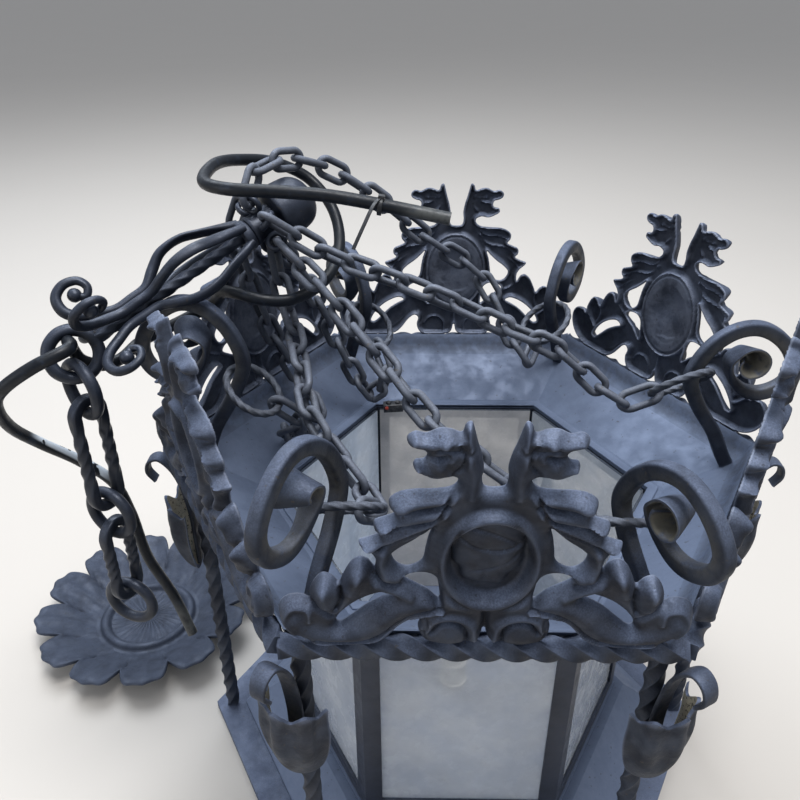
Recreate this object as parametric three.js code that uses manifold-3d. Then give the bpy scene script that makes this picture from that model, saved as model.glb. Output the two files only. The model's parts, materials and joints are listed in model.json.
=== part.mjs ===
import * as THREE from 'three';
import { mergeVertices } from 'three/addons/utils/BufferGeometryUtils.js';
import Module from 'manifold-3d';

// Wrought iron ceiling lantern, six sided, set down on its base ring with its
// suspension gear laid over the left corner and its ceiling rose beside it.
// Millimetres, +Z up. Everything is drawn about the lantern's own axis, corner 0
// pointing along +X, and moved at the end so the origin lies in the middle of
// the whole group's footprint on the table.

const wasm = await Module();
wasm.setup();

// Driving dimensions of the six sided body
const sides = 6;
const fit = 0.3;
const rimHeight = 340;
const rimRadius = 259;
const galleryDrop = 37.5;
const frameRadius = 170;
const angleThickness = 2.5;
const ledge = 12;
const galleryFlatRadius = frameRadius + ledge;
const innerRadius = frameRadius - angleThickness;
const sheet = 2;
const baseOuterRadius = 258;
const baseWidth = 36;
const baseInnerRadius = baseOuterRadius - baseWidth;
const baseThickness = 8;
const skirtInset = 4;
const skirtFootRadius = baseInnerRadius + skirtInset;
const skirtHeight = 36;
const floorLip = 2;
const floorRadius = frameRadius + floorLip;
const floorThickness = 3;
const angleLeg = 15;
const topRail = 12;
const bottomRail = 14;
const paneThickness = 3;
const paneSideGap = 3.3;
const paneTopGap = 1;

// Twisted bars
const twistPitch = 19;
const stepsPerQuarterTurn = 1.5;
const ropeWidth = 12;
const ropeLift = 2;
const columnWidth = 11;
const columnRadius = baseOuterRadius - baseWidth / 2;

// Corner capitals
const capitalOffset = 4;
const capitalCentreRadius = columnRadius + capitalOffset;
const capitalWall = 3;
const capitalTop = -55;
const capitalFoot = -129;
const capitalWidest = 28;
const strapWidth = 14;
const strapThickness = 3;

// Crests on the rim
const crestThickness = 6;
const crestLean = THREE.MathUtils.degToRad(3);
const crestRingDepth = 3;

// Corner scrolls, their rings and the chains
const scrollThickness = 12;
const scrollWidth = 10;
const scrollFootRadius = 232;
const scrollEyeWidth = 24;
const scrollEyeThickness = 8;
const scrollHeights = [122, 120, 118, 142, 133, 116];
const ringRadius = 25.3;
const ringWire = 6.4;
const linkWire = 6.2;
const linkEndRadius = 7.2;
const linkPitch = 24;
const linkWeld = 0.8;
const linkSides = 6;

// Hub, stem and suspension
const stemRadius = 5.25;
const stemToEye = 80;
const stemToHub = 101;
const stemDirection = new THREE.Vector3(0.733, 0.563, 0.381).normalize();
const eyeRadius = 18.5;
const eyeWire = 10;
const collarRadius = 13;
const collarLength = 24;
const hubEyeRadius = 7;
const hubEyeWire = 5;
const cupRadius = 24;
const cupLength = 38;
const bracketWire = 8;
const suspensionRingRadius = 21;
const suspensionWire = 10;
const suspensionLinkHalfWidth = 12;
const suspensionLinkLengths = [110, 90];
const hingeGap = 0.8;

// Lamp inside
const lampholderRadius = 14;
const lampholderHeight = 34;
const bulbRadius = 17;
const bulbHeight = 50;

// Ceiling rose and flex
const roseCentre = new THREE.Vector2(-372, 128);
const rosePetals = 12;
const roseRadius = 122;
const roseHeight = 32;
const flexDiameter = 10;

const iron = { color: 0x3d4450, roughness: 0.62, metalness: 0.55 };
const dustyIron = { color: 0x5a6474, roughness: 0.78, metalness: 0.35 };
const darkIron = { color: 0x24272e, roughness: 0.5, metalness: 0.6 };
const glass = { color: 0xc3cad2, roughness: 0.25, metalness: 0 };
const rubber = { color: 0x17181b, roughness: 0.45, metalness: 0 };
const porcelain = { color: 0xd8d4c8, roughness: 0.4, metalness: 0 };

const lantern = new THREE.Group();
const up = new THREE.Vector3(0, 0, 1);
const cornerAngle = (index) => (index * 2 * Math.PI) / sides;
const toApothem = Math.cos(Math.PI / sides);

// A solid's triangles with shared corners, turned to face outwards
function closedGeometry(source) {
  const geometry = source.index ? source.clone() : source;
  geometry.deleteAttribute('normal');
  geometry.deleteAttribute('uv');
  geometry.clearGroups();
  const merged = mergeVertices(geometry, 1e-3);
  const index = merged.index.array;
  const at = merged.attributes.position;
  const corners = [new THREE.Vector3(), new THREE.Vector3(), new THREE.Vector3()];
  const kept = [];
  let volume = 0;
  for (let i = 0; i < index.length; i += 3) {
    const [a, b, c] = [index[i], index[i + 1], index[i + 2]];
    if (a === b || b === c || c === a) continue;
    kept.push(a, b, c);
    corners.forEach((corner, n) => corner.fromBufferAttribute(at, index[i + n]));
    volume += corners[0].dot(corners[1].clone().cross(corners[2]));
  }
  if (volume < 0) kept.reverse();
  merged.setIndex(kept);
  return merged;
}

function toManifold(source) {
  const geometry = closedGeometry(source);
  return new wasm.Manifold(new wasm.Mesh({
    numProp: 3,
    vertProperties: new Float32Array(geometry.attributes.position.array),
    triVerts: new Uint32Array(geometry.index.array),
  }));
}

function toGeometry(solid) {
  const mesh = solid.getMesh();
  const geometry = new THREE.BufferGeometry();
  geometry.setAttribute('position', new THREE.BufferAttribute(mesh.vertProperties, 3));
  geometry.setIndex(new THREE.BufferAttribute(mesh.triVerts, 1));
  return geometry;
}

function unite(...sources) {
  const solids = sources.map(toManifold);
  return toGeometry(solids.reduce((total, solid) => total.add(solid)));
}

function cut(source, ...tools) {
  return toGeometry(tools.map(toManifold).reduce((left, tool) => left.subtract(tool), toManifold(source)));
}

function add(name, finish, source) {
  const geometry = closedGeometry(source);
  geometry.computeVertexNormals();
  const mesh = new THREE.Mesh(geometry, new THREE.MeshStandardMaterial(finish));
  mesh.name = name;
  lantern.add(mesh);
  return mesh;
}

// A point given by its distance from the axis, its bearing and its height
function polar(radius, angle, z) {
  return new THREE.Vector3(radius * Math.cos(angle), radius * Math.sin(angle), z);
}

// A profile of [corner radius, height] points run round the six sides
function hexagonal(profile) {
  const points = profile.map(([radius, z]) => new THREE.Vector2(radius, z));
  return new THREE.LatheGeometry(points, sides, Math.PI / 2).rotateX(Math.PI / 2);
}

function closedProfile(points) {
  return [...points, points[0]];
}

// A straight extrusion of a section bent along a curve. The section's x runs
// along the curve's normal and its y along the side vector.
function bentBar(curve, section, { steps, side, quarterTurns = 0, width = () => 1, depth = () => 1 }) {
  const geometry = new THREE.ExtrudeGeometry(section, { depth: 1, steps, bevelEnabled: false });
  const frames = side ? null : curve.computeFrenetFrames(steps, false);
  const at = geometry.attributes.position;
  const moved = new THREE.Vector3();
  for (let i = 0; i < at.count; i += 1) {
    const t = at.getZ(i);
    const step = Math.round(t * steps);
    const tangent = side ? curve.getTangentAt(t) : frames.tangents[step];
    const normal = side ? new THREE.Vector3().crossVectors(side, tangent) : frames.normals[step];
    const lateral = side ?? frames.binormals[step];
    const turn = (quarterTurns * t * Math.PI) / 2;
    const x = (at.getX(i) * Math.cos(turn) - at.getY(i) * Math.sin(turn)) * depth(t);
    const y = (at.getX(i) * Math.sin(turn) + at.getY(i) * Math.cos(turn)) * width(t);
    moved.copy(curve.getPointAt(t)).addScaledVector(normal, x).addScaledVector(lateral, y);
    at.setXYZ(i, moved.x, moved.y, moved.z);
  }
  return geometry;
}

function rectangle(x, y) {
  const half = [[-x, -y], [x, -y], [x, y], [-x, y]].map(([a, b]) => new THREE.Vector2(a / 2, b / 2));
  return new THREE.Shape(half);
}

function roundSection(radius, count) {
  const points = Array.from({ length: count }, (_, i) => {
    const angle = (i * 2 * Math.PI) / count;
    return new THREE.Vector2(radius * Math.cos(angle), radius * Math.sin(angle));
  });
  return new THREE.Shape(points);
}

function twistedBar(start, end, width, side) {
  const turns = Math.round(start.distanceTo(end) / twistPitch);
  const line = new THREE.LineCurve3(start, end);
  const steps = Math.ceil(turns * stepsPerQuarterTurn);
  return bentBar(line, rectangle(width, width), { steps, side, quarterTurns: turns });
}

function plane(origin, x, y, z) {
  return new THREE.Matrix4().makeBasis(x, y, z).setPosition(origin);
}

// Heights of the sloping gallery, measured along its corner lines
const ropeEnvelope = (ropeWidth / 2) * Math.SQRT2;
const galleryEdgeRadius = rimRadius - ropeEnvelope / toApothem;
const gallerySlope = galleryDrop / (galleryEdgeRadius - galleryFlatRadius);
const galleryTopAt = (radius) => rimHeight - gallerySlope * (galleryEdgeRadius - radius);
const sheetDrop = sheet * Math.hypot(1, gallerySlope);
const galleryFlat = rimHeight - galleryDrop;

function galleryGeometry() {
  const edge = galleryEdgeRadius;
  return hexagonal(closedProfile([
    [innerRadius, galleryFlat], [galleryFlatRadius, galleryFlat], [edge, rimHeight],
    [edge, rimHeight - sheetDrop], [galleryFlatRadius, galleryFlat - sheetDrop],
    [innerRadius, galleryFlat - sheetDrop],
  ]));
}

// Base: a flat ring, a skirt that mirrors the gallery, and the floor plate
const skirtFoot = baseThickness + fit;
const skirtTop = skirtFoot + skirtHeight;
const floorBottom = skirtTop + fit;
const floorTop = floorBottom + floorThickness;
const frameBottom = floorTop + fit;
const frameTop = galleryFlat - sheetDrop - fit;

function baseRingGeometry() {
  return hexagonal(closedProfile([
    [baseInnerRadius, 0], [baseOuterRadius, 0], [baseOuterRadius, baseThickness],
    [baseInnerRadius, baseThickness],
  ]));
}

function skirtGeometry() {
  return hexagonal(closedProfile([
    [skirtFootRadius, skirtFoot], [skirtFootRadius, skirtFoot + sheetDrop],
    [galleryFlatRadius, skirtTop], [innerRadius, skirtTop], [innerRadius, skirtTop - sheetDrop],
    [galleryFlatRadius - sheet, skirtTop - sheetDrop], [skirtFootRadius - 2 * sheet, skirtFoot],
  ]));
}

function floorGeometry() {
  return hexagonal([[0, floorBottom], [floorRadius, floorBottom], [floorRadius, floorTop], [0, floorTop]]);
}

// Six angle iron posts with top and bottom rails, cut from one hexagonal tube
function frameGeometry() {
  const inner = frameRadius - angleThickness / toApothem;
  const tube = hexagonal(closedProfile([
    [inner, frameBottom], [frameRadius, frameBottom], [frameRadius, frameTop], [inner, frameTop],
  ]));
  const low = frameBottom + bottomRail;
  const high = frameTop - topRail;
  const windows = Array.from({ length: sides }, (_, index) => {
    const middle = cornerAngle(index + 0.5);
    const opening = new THREE.BoxGeometry(angleLeg * 2, frameRadius - 2 * angleLeg, high - low);
    const centre = polar(frameRadius * toApothem, middle, (low + high) / 2);
    return opening.rotateZ(middle).translate(centre.x, centre.y, centre.z);
  });
  return cut(tube, ...windows);
}

function paneGeometry(index) {
  const frameInner = frameRadius * toApothem - angleThickness;
  const inner = frameInner - fit - paneThickness;
  const width = 2 * inner * Math.tan(Math.PI / sides) - paneSideGap;
  const top = frameTop - paneTopGap;
  const middle = cornerAngle(index + 0.5);
  const centre = polar(inner + paneThickness / 2, middle, (frameBottom + top) / 2);
  const pane = new THREE.BoxGeometry(paneThickness, width, top - frameBottom);
  return pane.rotateZ(middle).translate(centre.x, centre.y, centre.z);
}

function ropeGeometry() {
  const corner = (index) => polar(rimRadius, cornerAngle(index), rimHeight + ropeLift);
  const bars = Array.from({ length: sides }, (_, i) => twistedBar(corner(i), corner(i + 1), ropeWidth, up));
  return unite(...bars);
}

// Columns run from the base ring up to the gallery's underside
const columnEnvelope = (columnWidth / 2) * Math.SQRT2;
const columnTop = galleryTopAt(columnRadius - columnWidth / 2) - sheetDrop - fit;

function columnGeometry(index) {
  const angle = cornerAngle(index);
  const side = new THREE.Vector3(-Math.sin(angle), Math.cos(angle), 0);
  const foot = polar(columnRadius, angle, baseThickness + fit);
  return twistedBar(foot, polar(columnRadius, angle, columnTop), columnWidth, side);
}

// Hollow leaf half shell on the outer face of a column, with a strap that
// stands inside it and curls over outside the rim
const capitalInnerFace = columnRadius + columnEnvelope + fit;
const capitalOutline = [[0, 0], [0.4, 0], [0.82, 0.27], [1, 0.68], [0.96, 1]];
const capitalLobes = 12;
const capitalFlute = 0.94;
const strapFace = capitalInnerFace + strapThickness / 2;
const strapRoute = [
  [strapFace, capitalFoot + capitalWall / 2], [strapFace, -95], [strapFace + 1, -62],
  ...[[12.5, -28], [20, -13], [28, -6.5], [36, -10], [39, -21], [33, -31]].map(([r, z]) => {
    return [capitalCentreRadius + r, z];
  }),
];

function capitalGeometry(index) {
  const height = capitalTop - capitalFoot;
  const outer = capitalOutline.map(([r, h]) => [r * capitalWidest, capitalFoot + h * height]);
  const inner = outer.slice(1).reverse().map(([r, z]) => [r - capitalWall, z]);
  inner[inner.length - 1][1] += capitalWall;
  inner[inner.length - 2][1] += capitalWall / 2;
  const profile = [...outer, ...inner, [0, capitalFoot + capitalWall]];
  const shell = new THREE.LatheGeometry(profile.map(([r, z]) => new THREE.Vector2(r, z)), capitalLobes);
  shell.rotateX(Math.PI / 2).translate(capitalCentreRadius, 0, rimHeight);
  const at = shell.attributes.position;
  for (let i = 0; i < at.count; i += 1) {
    const x = at.getX(i) - capitalCentreRadius;
    const slot = Math.round((Math.atan2(at.getY(i), x) / (2 * Math.PI)) * capitalLobes);
    if (slot % 2 !== 0) at.setXY(i, capitalCentreRadius + x * capitalFlute, at.getY(i) * capitalFlute);
  }
  const reach = 2 * capitalWidest;
  const behind = new THREE.BoxGeometry(reach, 2 * reach, 4 * reach);
  behind.translate(capitalInnerFace - reach / 2, 0, rimHeight + capitalFoot + height / 2);
  const curl = new THREE.CatmullRomCurve3(strapRoute.map(([x, z]) => new THREE.Vector3(x, 0, rimHeight + z)));
  const side = new THREE.Vector3(0, 1, 0);
  const strap = bentBar(curl, rectangle(strapThickness, strapWidth), { steps: 16, side });
  return unite(cut(shell, behind), strap).rotateZ(cornerAngle(index));
}

// Crest casting: two facing beasts over an oval shield, on scrolled leaves.
// The half outline is given from the middle of the foot round to the top.
const crestSeat = ropeLift + ropeEnvelope + fit;
const crestHalf = [
  [4.5, 38], [7, 20], [11, crestSeat], [35.5, crestSeat], [40, 20], [38.5, 30], [45, 33.5], [52, 28],
  [59, 17.5], [70, crestSeat], [103, crestSeat], [114, 17], [123, 26], [126, 36], [120, 46], [106, 47],
  [98, 65], [84, 60], [79, 78], [66, 69], [67, 78], [75, 91.5], [63, 99], [66, 107.5], [53, 115], [56, 124],
  [42, 130], [20, 134.5], [25, 141.5], [41, 143], [44.5, 148], [37, 154], [47.5, 164], [43, 169.5], [30, 171.5],
  [18, 170.5], [14.5, 175], [8.5, 157], [6.5, 145], [7, 134],
];
const crestHoles = [
  [[33, 105], [37, 88], [38, 78], [44, 73.5], [52, 75], [56, 83], [47, 92]],
  [[30, 48], [41, 57], [49, 66], [36, 69], [29, 60]],
  [[57, 49.5], [70, 41], [83, 29], [91, 25], [85, 37], [75, 47], [65, 52]],
];
const medallionCentre = 82.5;
const medallion = { x: 31, y: 40.5 };
const medallionRim = 6;
const medallionSegments = 12;

function medallionOval(inset) {
  return Array.from({ length: medallionSegments }, (_, i) => {
    const angle = (i * 2 * Math.PI) / medallionSegments;
    const x = (medallion.x - inset) * Math.cos(angle);
    return new THREE.Vector2(x, medallionCentre + (medallion.y - inset) * Math.sin(angle));
  });
}

function crestGeometry(index) {
  const vectors = (points, mirror) => points.map(([x, y]) => new THREE.Vector2(mirror * x, y));
  const body = new THREE.Shape([...vectors(crestHalf, 1), ...vectors(crestHalf, -1).reverse()]);
  [1, -1].forEach((mirror) => {
    crestHoles.forEach((hole) => body.holes.push(new THREE.Path(vectors(hole, mirror))));
  });
  const half = crestThickness / 2;
  const slab = new THREE.ExtrudeGeometry(body, { depth: crestThickness, bevelEnabled: false });
  const rim = new THREE.Shape(medallionOval(0));
  rim.holes.push(new THREE.Path(medallionOval(medallionRim)));
  const ring = new THREE.ExtrudeGeometry(rim, { depth: half + crestRingDepth, bevelEnabled: false });
  const angle = cornerAngle(index + 0.5);
  const out = polar(1, angle, 0);
  const along = new THREE.Vector3().crossVectors(up, out);
  const rise = up.clone().multiplyScalar(Math.cos(crestLean)).addScaledVector(out, Math.sin(crestLean));
  const face = new THREE.Vector3().crossVectors(along, rise);
  const place = plane(polar(rimRadius * toApothem, angle, rimHeight), along, rise, face);
  return unite(slab.translate(0, 0, -half), ring).applyMatrix4(place);
}

// Corner scroll: a bar standing on the gallery corner that curls outwards.
// Its path runs in the upright plane through the corner.
const scrollShape = [
  [215, 0.19], [196, 0.42], [186, 0.615], [190, 0.754], [200, 0.885], [215, 0.977], [231, 1], [246, 0.954],
  [262, 0.83], [268, 0.708], [262, 0.585], [245, 0.515], [231, 0.538], [218, 0.646], [214, 0.76], [220, 0.823],
];
const scrollFootRise = 12;
const scrollFootAngle = Math.atan(gallerySlope);
const scrollFootLift = (scrollWidth / 2) * Math.tan(Math.PI / sides) * Math.sin(scrollFootAngle) + fit;

function scrollCurve(index) {
  const angle = cornerAngle(index);
  const foot = {
    r: scrollFootRadius - scrollFootLift * Math.sin(scrollFootAngle),
    z: galleryTopAt(scrollFootRadius) + scrollFootLift * Math.cos(scrollFootAngle),
  };
  const start = [foot, {
    r: foot.r - scrollFootRise * Math.sin(scrollFootAngle),
    z: foot.z + scrollFootRise * Math.cos(scrollFootAngle),
  }];
  const rest = scrollShape.map(([r, share]) => ({ r, z: rimHeight + share * scrollHeights[index] }));
  return new THREE.CatmullRomCurve3([...start, ...rest].map(({ r, z }) => polar(r, angle, z)));
}

function scrollSide(index) {
  return polar(1, cornerAngle(index) + Math.PI / 2, 0);
}

function scrollGeometry(index) {
  const flare = (from, to) => (t) => 1 + (to / from - 1) * THREE.MathUtils.smoothstep(t, 0.82, 1);
  return bentBar(scrollCurve(index), rectangle(scrollThickness, scrollWidth), {
    steps: 24,
    side: scrollSide(index),
    width: flare(scrollWidth, scrollEyeWidth),
    depth: flare(scrollThickness, scrollEyeThickness),
  });
}

// Clear distance from a point to the bar of a corner scroll
function scrollClearance(index, samples, point) {
  const side = scrollSide(index);
  const spacing = samples[0].centre.distanceTo(samples[1].centre);
  let least = Infinity;
  samples.forEach(({ centre, tangent }) => {
    const gap = point.clone().sub(centre);
    const across = Math.abs(gap.dot(side)) - scrollWidth / 2;
    const normal = Math.abs(gap.dot(new THREE.Vector3().crossVectors(side, tangent))) - scrollThickness / 2;
    const along = Math.abs(gap.dot(tangent)) - spacing / 2;
    least = Math.min(least, Math.hypot(Math.max(across, 0), Math.max(normal, 0), Math.max(along, 0)));
  });
  return least;
}

// Rings hooked round the scrolls. Each is drawn inwards until it rests on the
// bar: pull is its direction in the corner's upright plane, and lean turns it
// about that direction.
const ringSeats = [
  { share: 0.62, pull: [-0.92, -0.39], lean: 40 },
  { share: 0.52, pull: [-0.85, -0.53], lean: 20 },
  { share: 0.52, pull: [-0.75, -0.66], lean: -15 },
  { share: 0.5, pull: [-0.8, -0.6], lean: 10 },
  { share: 0.5, pull: [-0.8, -0.6], lean: -20 },
  { share: 0.5, pull: [-0.85, -0.53], lean: 20 },
];

const ringSeatGap = 3 * fit;
const ringSeatStep = 0.1;
const barSamples = 120;
const ringSamples = 48;

function seatRing(index) {
  const { share, pull, lean } = ringSeats[index];
  const angle = cornerAngle(index);
  const curve = scrollCurve(index);
  const samples = curve.getSpacedPoints(barSamples).slice(0, barSamples / 2).map((centre, i) => {
    return { centre, tangent: curve.getTangentAt(i / barSamples) };
  });
  const direction = polar(pull[0], angle, pull[1]).normalize();
  const side = scrollSide(index);
  const level = new THREE.Vector3().crossVectors(direction, side);
  const normal = level.applyAxisAngle(direction, THREE.MathUtils.degToRad(lean));
  const tangent = new THREE.Vector3().crossVectors(normal, direction);
  const height = rimHeight + share * scrollHeights[index];
  const bar = samples.reduce((best, sample) => {
    return Math.abs(sample.centre.z - height) < Math.abs(best.centre.z - height) ? sample : best;
  });
  const clearAt = (offset) => {
    const centre = bar.centre.clone().addScaledVector(direction, offset);
    let least = Infinity;
    for (let i = 0; i < ringSamples; i += 1) {
      const turn = (i * 2 * Math.PI) / ringSamples;
      const point = centre.clone().addScaledVector(direction, ringRadius * Math.cos(turn));
      point.addScaledVector(tangent, ringRadius * Math.sin(turn));
      least = Math.min(least, scrollClearance(index, samples, point));
    }
    return least - ringWire / 2;
  };
  let offset = 0;
  while (clearAt(offset) > ringSeatGap) offset += ringSeatStep;
  const centre = bar.centre.clone().addScaledVector(direction, offset);
  return { centre, direction, normal, tangent };
}

function ringGeometry({ centre, direction, normal, tangent }, wire, radius, segments, around) {
  const ring = new THREE.TorusGeometry(radius, wire / 2, around, segments);
  return ring.applyMatrix4(plane(centre, direction, tangent, normal));
}

// Left scroll carries the stem: the point where the scroll's top runs parallel
// to the stem as seen from the side
const restCorner = 3;

function restPoint() {
  const curve = scrollCurve(restCorner);
  const radial = polar(1, cornerAngle(restCorner), 0);
  const across = stemDirection.dot(radial);
  const slope = stemDirection.z / across;
  const steps = 400;
  let best = { error: Infinity };
  for (let i = steps / 3; i < (2 * steps) / 3; i += 1) {
    const t = i / steps;
    const tangent = curve.getTangentAt(t);
    const r = tangent.dot(radial);
    const error = Math.abs(tangent.z - slope * r);
    if (r > 0 && tangent.z < 0 && error < best.error) best = { error, t };
  }
  const normal = radial.clone().multiplyScalar(-stemDirection.z).addScaledVector(up, across).normalize();
  if (normal.z < 0) normal.negate();
  return curve.getPointAt(best.t).addScaledVector(normal, scrollThickness / 2 + stemRadius);
}

const stemRest = restPoint();
const eyeCentre = stemRest.clone().addScaledVector(stemDirection, -stemToEye);
const hubCentre = stemRest.clone().addScaledVector(stemDirection, stemToHub);
const eyeFacing = new THREE.Vector3(0.394, -0.818, 0.419);
eyeFacing.addScaledVector(stemDirection, -eyeFacing.dot(stemDirection)).normalize();
const eyeAcross = new THREE.Vector3().crossVectors(eyeFacing, stemDirection);

const hubFrame = plane(hubCentre, eyeAcross, eyeFacing, stemDirection);

function stemGeometry() {
  const start = eyeCentre.clone().addScaledVector(stemDirection, eyeRadius);
  const end = hubCentre.clone().addScaledVector(stemDirection, -collarLength / 2 - fit);
  const rod = bentBar(new THREE.LineCurve3(start, end), roundSection(stemRadius, 12), { steps: 1 });
  const frame = { centre: eyeCentre, direction: stemDirection, normal: eyeFacing, tangent: eyeAcross };
  return unite(rod, ringGeometry(frame, eyeWire, eyeRadius, 16, 8));
}

// Hub: a collar with six eyes round it and a bell cup on its far end
const hubEyeCentre = collarRadius + hubEyeRadius;
const cupOutline = [[1, 0.05], [1, 0.12], [0.97, 0.46], [0.87, 0.75], [0.6, 0.93], [0, 1]];
const eyeBearings = [90, 30, 270, 330, 210, 150].map(THREE.MathUtils.degToRad);

// Free routes of the chains from the hub to the rings, as x, y and height
// above the rim
const chainRoutes = [
  [[-112, 38, 168], [-56, 33, 148], [-8, 27, 130], [34, 19, 112], [76, 12, 96]],
  [[-174, 66, 230], [-148, 98, 232], [-118, 120, 218], [-80, 132, 190], [-30, 142, 146], [20, 152, 108]],
  [[-154, 100, 140], [-134, 110, 96], [-116, 116, 46], [-98, 124, 0], [-84, 132, -20]],
  [[-200, 76, 176], [-194, 84, 132], [-182, 94, 80], [-164, 104, 32], [-148, 104, -2], [-138, 88, -17],
    [-150, 64, -18], [-166, 40, -7]],
  [[-158, 54, 128], [-146, 28, 104], [-134, -20, 90], [-124, -60, 74]],
  [[-118, 8, 152], [-88, -18, 126], [-60, -48, 104], [-26, -84, 78]],
];

function hubEye(index) {
  const bearing = eyeBearings[index];
  const out = eyeAcross.clone().multiplyScalar(Math.cos(bearing)).addScaledVector(eyeFacing, Math.sin(bearing));
  const centre = hubCentre.clone().addScaledVector(out, hubEyeCentre);
  const hold = centre.clone().addScaledVector(out, hubEyeRadius);
  const [x, y, z] = chainRoutes[index][0];
  const pull = new THREE.Vector3(x, y, rimHeight + z).sub(hold).normalize();
  const tangent = new THREE.Vector3().crossVectors(out, pull).normalize();
  const normal = new THREE.Vector3().crossVectors(out, tangent);
  return { centre, direction: out, tangent, normal, hold };
}

function hubGeometry() {
  const half = collarLength / 2;
  const cup = cupOutline.map(([r, h]) => [r * cupRadius, half + h * cupLength]);
  const profile = [[0, -half], [collarRadius, -half], [collarRadius, half], ...cup];
  const body = new THREE.LatheGeometry(profile.map(([r, z]) => new THREE.Vector2(r, z)), 14);
  const turned = body.rotateX(Math.PI / 2).applyMatrix4(hubFrame);
  const eyes = eyeBearings.map((_, i) => ringGeometry(hubEye(i), hubEyeWire, hubEyeRadius, 8, 4));
  return unite(turned, ...eyes);
}

// Four scrolled brackets round the stem, each from a ball ended spiral near the
// eye, along the stem and out in a leaf to a flange that joins them before the
// hub. Points are the distance from the eye along the stem and the distance out
// from its centre line.
const bracketTouch = stemRadius + 2 * fit + bracketWire / 2;
const flangeLength = 8;
const flangeRadius = collarRadius;
const flangeStart = stemToEye + stemToHub - collarLength / 2 - flangeLength - fit;
const bracketRoute = [
  [28, 36], [34, 31], [39, 36], [36, 44], [26, 47], [16, 42], [14, 31], [20, 22], [33, 15],
  [46, bracketTouch], [60, bracketTouch], [74, bracketTouch + 1], [86, 19], [100, 27], [118, 28], [136, 22],
  [flangeStart + flangeLength / 2, flangeRadius - 2],
];
const bracketBearings = [60, 132, 280, 350].map(THREE.MathUtils.degToRad);

function bracketGeometry(bearing) {
  const out = eyeAcross.clone().multiplyScalar(Math.cos(bearing)).addScaledVector(eyeFacing, Math.sin(bearing));
  const side = new THREE.Vector3().crossVectors(stemDirection, out);
  const points = bracketRoute.map(([along, away]) => {
    return eyeCentre.clone().addScaledVector(stemDirection, along).addScaledVector(out, away);
  });
  const leaf = (t) => {
    const rise = THREE.MathUtils.smoothstep(t, 0.6, 0.8);
    return 1 + 0.6 * rise * (1 - THREE.MathUtils.smoothstep(t, 0.88, 1));
  };
  const curve = new THREE.CatmullRomCurve3(points);
  return bentBar(curve, roundSection(bracketWire / 2, 6), { steps: 22, side, width: leaf });
}

function bracketsGeometry() {
  const bore = stemRadius + fit;
  const profile = closedProfile([
    [bore, 0], [flangeRadius, 0], [flangeRadius, flangeLength], [bore, flangeLength],
  ]);
  const flange = new THREE.LatheGeometry(profile.map(([r, z]) => new THREE.Vector2(r, z)), 16);
  const eyeFrame = plane(eyeCentre, eyeAcross, eyeFacing, stemDirection);
  flange.rotateX(Math.PI / 2).translate(0, 0, flangeStart).applyMatrix4(eyeFrame);
  return unite(flange, ...bracketBearings.map(bracketGeometry));
}

// Chains: links welded by their own wire into one strand, each turned a
// quarter from the last
const linkSeat = (linkWire - linkWeld) / 2;
const endSeat = (wire) => (wire + linkWire) / 2 + ringSeatGap;

function linkGeometry(start, end, seats, normal) {
  const along = end.clone().sub(start);
  const stretch = (along.length() + seats[0] + seats[1]) / 2 - linkEndRadius;
  const link = new THREE.TorusGeometry(linkEndRadius, linkWire / 2, 4, linkSides).rotateZ(Math.PI / linkSides);
  const at = link.attributes.position;
  for (let i = 0; i < at.count; i += 1) at.setY(i, at.getY(i) + Math.sign(at.getY(i)) * stretch);
  along.normalize();
  const middle = start.clone().add(end).multiplyScalar(0.5).addScaledVector(along, (seats[1] - seats[0]) / 2);
  const across = new THREE.Vector3().crossVectors(along, normal).normalize();
  return link.applyMatrix4(plane(middle, across, along, new THREE.Vector3().crossVectors(across, along)));
}

function chainGeometry(index) {
  const eye = hubEye(index);
  const ring = seatRing(index);
  const hold = ring.centre.clone().addScaledVector(ring.direction, ringRadius);
  const route = chainRoutes[index].map(([x, y, z]) => new THREE.Vector3(x, y, rimHeight + z));
  const lead = hold.clone().addScaledVector(ring.direction, linkPitch);
  const curve = new THREE.CatmullRomCurve3([eye.hold, ...route, lead, hold], false, 'centripetal');
  const count = Math.round(curve.getLength() / linkPitch);
  const joints = curve.getSpacedPoints(count);
  const directions = joints.slice(1).map((joint, i) => joint.clone().sub(joints[i]).normalize());
  let carried = eye.tangent.clone();
  const normals = directions.map((direction) => {
    carried = carried.clone().addScaledVector(direction, -carried.dot(direction)).normalize();
    return carried;
  });
  const last = count - 1;
  const aim = new THREE.Vector3().crossVectors(normals[last], ring.tangent).dot(directions[last]);
  const miss = Math.atan2(aim, normals[last].dot(ring.tangent)) - (last * Math.PI) / 2;
  const twist = (miss - Math.PI * Math.round(miss / Math.PI)) / last;
  const links = directions.map((direction, i) => {
    const seats = [i === 0 ? endSeat(hubEyeWire) : linkSeat, i === last ? endSeat(ringWire) : linkSeat];
    const normal = normals[i].clone().applyAxisAngle(direction, i * (Math.PI / 2 + twist));
    return linkGeometry(joints[i], joints[i + 1], seats, normal);
  });
  return unite(...links);
}

// Suspension gear: rings and twisted links hanging in turn from the eye. Each
// plane is upright and faces a bearing of its own.
const gearTurns = [-40, 58, -25, 65, -15].map(THREE.MathUtils.degToRad);
const gearDrop = suspensionWire + hingeGap;

function gearPlaces() {
  const fall = up.clone().negate().addScaledVector(eyeFacing, eyeFacing.z).normalize();
  const seat = eyeCentre.clone().addScaledVector(fall, eyeRadius);
  return gearTurns.map((bearing, i) => {
    const isRing = i % 2 === 0;
    const length = isRing ? 2 * suspensionRingRadius : suspensionLinkLengths[(i - 1) / 2] - suspensionWire;
    const top = seat.clone().addScaledVector(up, gearDrop);
    const centre = top.clone().addScaledVector(up, -length / 2);
    seat.copy(top).addScaledVector(up, -length);
    return { centre, length, isRing, bearing };
  });
}

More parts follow.
